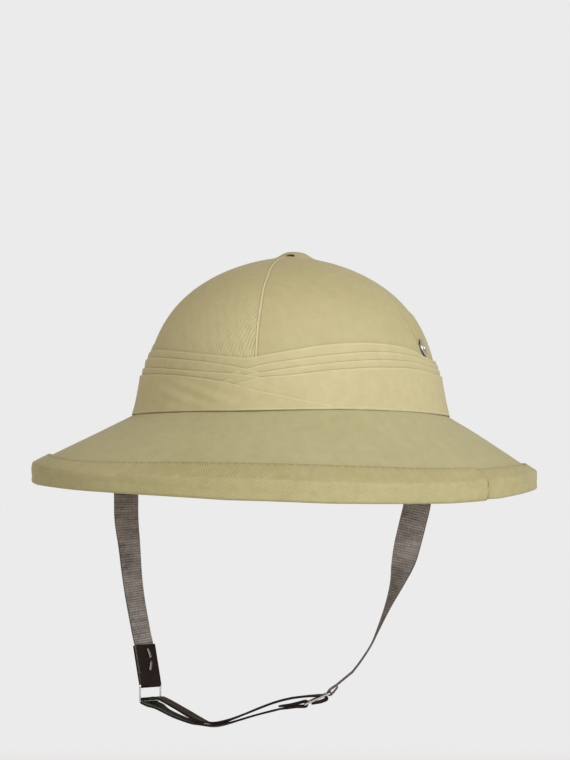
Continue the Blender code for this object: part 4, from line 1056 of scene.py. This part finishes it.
TAB_SIDE = ((24.0, 1.35), (18.0, 1.35), (8.0, 1.35), (5.0, 1.37))
TAB_THICKNESS, TAB_WIDTH, TAB_CORNER, LEATHER_STEP = 1.1 * MM, 16.0 * MM, 0.45 * MM, 0.5 * MM
RIVET_UP, RIVET_ASIDE, RIVET_HEAD, RIVET_DOME, RIVET_SHANK = 14.8 * MM, 1.8 * MM, 3.2 * MM, 1.2 * MM, 1.2 * MM
RIVET_LEG_WIDTH, RIVET_LEG_LENGTH, RIVET_LEG_THICKNESS, RIVET_SPLIT = 1.8 * MM, 6.8 * MM, 0.5 * MM, 0.45 * MM

cowhide, tree, shader = new_material("vegetable_tanned_cowhide")
place = add(tree, "TexCoord", {}).outputs["Object"]
# The grain side is nearly black with a soft sheen, and the flesh side a matt grey nap. Pores lie about 0.6 mm
# apart, drawn 0.9 mm so that they show, creases 4 mm and tufts of the nap 2.4 mm
pores = add(tree, "TexVoronoi", {"Vector": place, "Scale": 1100.0}, feature="F1")
creased = add(tree, "TexNoise", {"Vector": place, "Scale": 260.0, "Detail": 5.0, "Roughness": 0.65})
nap = add(tree, "TexNoise", {"Vector": place, "Scale": 420.0, "Detail": 3.0})
grain = add(tree, "Mix", {0: creased.outputs["Fac"], 6: linear("#110a08"), 7: linear("#221713")},
            data_type="RGBA")
flesh = add(tree, "Mix", {0: nap.outputs["Fac"], 6: linear("#5c5d58"), 7: linear("#7c7d76")},
            data_type="RGBA")
which = add(tree, "Attribute", {}, attribute_name="side").outputs["Fac"]
cut_edge = add(tree, "Attribute", {}, attribute_name="edge").outputs["Fac"]
skin = add(tree, "Mix", {0: which, 6: grain.outputs[2], 7: flesh.outputs[2]}, data_type="RGBA")
skin = add(tree, "Mix", {0: cut_edge, 6: skin.outputs[2], 7: linear("#1d1411")}, data_type="RGBA")
depth = add(tree, "Math", {0: pores.outputs["Distance"], 1: creased.outputs["Fac"]}, operation="ADD")
raised = add(tree, "Bump", {"Strength": 0.08, "Distance": 0.1 * MM, "Height": depth.outputs[0]})
sheen = add(tree, "Mix", {0: which, 2: 0.55, 3: 0.90}, data_type="FLOAT")
shader.inputs["Specular IOR Level"].default_value = 0.14
tree.links.new(skin.outputs[2], shader.inputs["Base Color"])
tree.links.new(sheen.outputs[0], shader.inputs["Roughness"])
tree.links.new(raised.outputs["Normal"], shader.inputs["Normal"])

wrap = (WIRE + TAB_THICKNESS) / 2 + CLEAR
side = np.array(TAB_SIDE) * MM
places = np.concatenate((side, arc((0.0, 0.0), wrap, 60.0, 300.0, 20), (side * (1.0, -1.0))[::-1]))
middle = round_bar(tab_frame, places)
strap("cowhide_tab", middle, np.tile(tab_frame[2], (len(middle), 1)), TAB_WIDTH, TAB_THICKNESS, cowhide,
      "leather", ("strap_tab",), LEATHER_STEP, TAB_CORNER, turned_over=True)

bar, run, way, square = tab_frame
seat = TAB_SIDE[0][1] * MM + TAB_THICKNESS / 2 + 0.15 * MM
rivet_centre = bar + run * RIVET_UP + way * RIVET_ASIDE
dome = arc((0.0, 0.0), 1.0, 5.0, 90.0, 10) * (RIVET_HEAD, RIVET_DOME) + (0.0, seat + 0.1 * MM)
root = 0.6 * MM - seat
shank = ((PIN_POINT, root), (RIVET_SHANK, root), (RIVET_SHANK, seat), (RIVET_HEAD, seat))
head = np.concatenate((shank, dome))
head[-1, 0] = PIN_POINT
# Handling has worn the rivet to a dull grey
dull_steel = plated("worn_steel_rivet", "#8d8b89", 0.45)
turned("split_rivet_head", head[::-1], (rivet_centre, -way, run, square), dull_steel, "steel",
       ("split_rivet",), 40)


def rivet_leg(name, up, lean):
    """One spread leg: a flat strip with a half-round tip, narrower and sunk into the leather at its root."""
    share = np.linspace(0.0, 1.0, 30)[:, None]
    across = np.linspace(-1.0, 1.0, 13)
    across, top = np.concatenate((across, across[::-1])), np.repeat((1.0, -1.0), 13)
    half = RIVET_LEG_WIDTH / 2 * np.sqrt(np.clip(1.0 - np.clip((share - 0.87) / 0.13, 0, 1) ** 2, 0.0, 1.0))
    half = half * (0.72 + 0.28 * smooth_step(share, 0.0, 0.35))
    thick = RIVET_LEG_THICKNESS / 2 * np.sqrt(np.clip(1.0 - across ** 4, 0.0, 1.0)) * top
    dip = 0.9 * MM * (1.0 - smooth_step(share, 0.0, 0.14)) - 0.25 * MM * np.sin(np.pi * share)
    length = RIVET_SPLIT + share * (RIVET_LEG_LENGTH - RIVET_SPLIT)
    points = (rivet_centre + run * length[..., None] * up + way * (across * half + lean * length)[..., None]
              - square * (seat + RIVET_LEG_THICKNESS / 2 - dip + thick)[..., None])
    surface(name, closed_ends(points, 0), dull_steel, "steel", close_across=True)


rivet_leg("split_rivet_leg_upper", 1.0, -0.24)
rivet_leg("split_rivet_leg_lower", -1.0, -0.34)


# ---- Chin strap
# One strip of the same cowhide, 15 mm by 1.2 mm, doubled between the slide and the ring: smooth dark grain on
# one face, greyish flesh on the other, and plain cut edges. Its two strands hang in a slack curve.

STRAP_WIDTH, LEATHER_THICKNESS, STRAP_CORNER = 15.0 * MM, 1.2 * MM, 0.5 * MM
# Middle of its thickness as places on the plan arc, from its lapped end to its tail under the slide
LAPPED_END = ((87.2, -174.3, -2), (92.0, -173.7, -1), (97.0, -172.7, 0))
LOWER_STRAND = ((96.9, -174.45, 0), (92.0, -175.3, -1), (87.5, -175.95, -2), (80.7, -177.7, -2),
                (72.5, -179.9, 0), (64.5, -182.3, 1.5), (56.1, -184.8, 0.5), (48.8, -186.4, -3.5),
                (44.0, -186.7, -7.5), (39.0, -186.55, -8), (34.2, -185.65, -5.5), (22.8, -182.6, -6.5),
                (10.6, -178.4, -9), (4.5, -176.2, 0))
UPPER_STRAND = ((4.8, -171.7, 0), (10.6, -172.3, -9), (22.8, -177.2, -8.5), (34.0, -182.4, -6),
                (40.5, -184.85, -7.5), (45.5, -185.25, -6.5), (50.5, -184.65, -3), (55.5, -183.1, 0.5),
                (60.2, -181.5, 2), (68.6, -178.2, 3), (76.7, -174.9, 2), (84.7, -172.0, 0),
                (92.7, -169.9, -1.5), (99.3, -168.9, -2.5), (105.5, -168.3, -2), (110.5, -168.15, 0))
TAIL_FOLD, TAIL_RADIUS, TAIL = (113.6, -169.35), 1.2, ((110.9, -171.7), (105.6, -172.5))


def untwisted(places):
    """Places along and up the arc, with a twist of 0 added to each."""
    return np.pad(places, ((0, 0), (0, 1)))


wrap = ((WIRE + LEATHER_THICKNESS) / 2 + CLEAR) / MM
places = np.concatenate((
    smooth_rows(LAPPED_END, 6),
    untwisted(arc(SLIDE_LOWER_BAR, wrap, 100.0, -95.0, 16)),
    smooth_rows(LOWER_STRAND, 8),
    untwisted(arc(RING_LOWER_BAR, wrap, -100.0, -280.0, 16)),
    smooth_rows(UPPER_STRAND, 8),
    untwisted(arc(TAIL_FOLD, TAIL_RADIUS, 90.0, -65.0, 12)),
    untwisted(smooth_rows(TAIL, 6)),
))
middle, ways = arc_place(places)
strap("cowhide_chin_strap", middle, ways, STRAP_WIDTH, LEATHER_THICKNESS, cowhide, "leather", ("chin_strap",),
      LEATHER_STEP, STRAP_CORNER)


# ---- Stage, light and camera
# A pale matt paper floor well below the hat, which blends into the backdrop's grey with distance. It lets
# light and sight through from below. Two soft boxes and a pale sky light the hat.

FLOOR_HEIGHT, FLOOR_REACH = -0.45, 60.0
BACKDROP = linear("#ebebeb")

rings = np.linspace(0.0, 1.0, 40)[:, None] ** 3 * FLOOR_REACH + MM
turn = np.linspace(0.0, 2 * np.pi, 96, endpoint=False)
floor_points = np.stack(np.broadcast_arrays(rings * np.cos(turn), rings * np.sin(turn), FLOOR_HEIGHT),
                        axis=-1)
paper, tree, shader = new_material("matt_backdrop_paper")
place = add(tree, "TexCoord", {}).outputs["Object"]
reach = add(tree, "VectorMath", {0: place}, operation="LENGTH").outputs["Value"]
far = add(tree, "MapRange", {"Value": reach, "From Min": 1.0, "From Max": 3.2},
          interpolation_type="SMOOTHSTEP")
glow = add(tree, "Emission", {"Color": BACKDROP})
shader.inputs["Base Color"].default_value = linear("#e6e6e6")
shader.inputs["Roughness"].default_value = 1.0
shader.inputs["Specular IOR Level"].default_value = 0.0
mixed = add(tree, "MixShader", {0: far.outputs["Result"], 1: shader.outputs[0], 2: glow.outputs[0]})
back = add(tree, "NewGeometry", {}).outputs["Backfacing"]
clear = add(tree, "BsdfTransparent", {})
seen = add(tree, "MixShader", {0: back, 1: mixed.outputs[0], 2: clear.outputs[0]})
tree.links.new(seen.outputs[0], tree.nodes["Material Output"].inputs["Surface"])
surface("floor", floor_points[:, ::-1], paper, None, close_across=True)

world = bpy.data.worlds.new("studio")
bpy.context.scene.world = world
world.use_nodes = True
tree = world.node_tree
seen = add(tree, "LightPath", {}).outputs["Is Camera Ray"]
backdrop = add(tree, "Background", {"Color": BACKDROP, "Strength": 1.0})
ambient = add(tree, "Background", {"Color": linear("#fbf1dc"), "Strength": 0.55})
mixed = add(tree, "MixShader", {0: seen, 1: ambient.outputs[0], 2: backdrop.outputs[0]})
tree.links.new(mixed.outputs[0], tree.nodes["World Output"].inputs["Surface"])


def aimed(name, data, azimuth, elevation, distance):
    """Lamp or camera turned to the hat: degrees to the right of its front and up, then metres away."""
    a, e = np.radians(azimuth), np.radians(elevation)
    away = np.array((np.sin(a) * np.cos(e), -np.cos(a) * np.cos(e), np.sin(e)))
    made = bpy.data.objects.new(name, data)
    bpy.context.scene.collection.objects.link(made)
    made.location = away * distance
    made.rotation_mode = "QUATERNION"
    made.rotation_quaternion = Vector(away).to_track_quat("Z", "Y")
    return made


# Degrees to the right and up, metres away, metres wide, watts and colour
for name, azimuth, elevation, distance, size, power, colour in (
        ("key", 48.0, 16.0, 2.2, 1.1, 34.0, "#f6faff"), ("fill", -30.0, 35.0, 2.6, 1.8, 11.0, "#ffffff")):
    lamp = bpy.data.lights.new(name, "AREA")
    lamp.shape, lamp.size, lamp.energy, lamp.color = "SQUARE", size, power, linear(colour)[:3]
    aimed(name, lamp, azimuth, elevation, distance)

CAMERA_AZIMUTH, CAMERA_ELEVATION, CAMERA_DISTANCE = 12.824, -1.178, 2.0
PIXELS_PER_METRE, PHOTO_WIDE, PHOTO_HIGH, CENTRE_X, CENTRE_Y = 1639.3, 570, 760, 291.26, 412.1
eye = bpy.data.cameras.new("camera")
eye.sensor_width = 36.0
eye.lens = PIXELS_PER_METRE * CAMERA_DISTANCE / PHOTO_HIGH * eye.sensor_width
eye.shift_x = (PHOTO_WIDE / 2 - CENTRE_X) / PHOTO_HIGH
eye.shift_y = (CENTRE_Y - PHOTO_HIGH / 2) / PHOTO_HIGH
eye.clip_end = 200.0
bpy.context.scene.camera = aimed("camera", eye, CAMERA_AZIMUTH, CAMERA_ELEVATION, CAMERA_DISTANCE)
bpy.context.scene.view_settings.view_transform = "Standard"
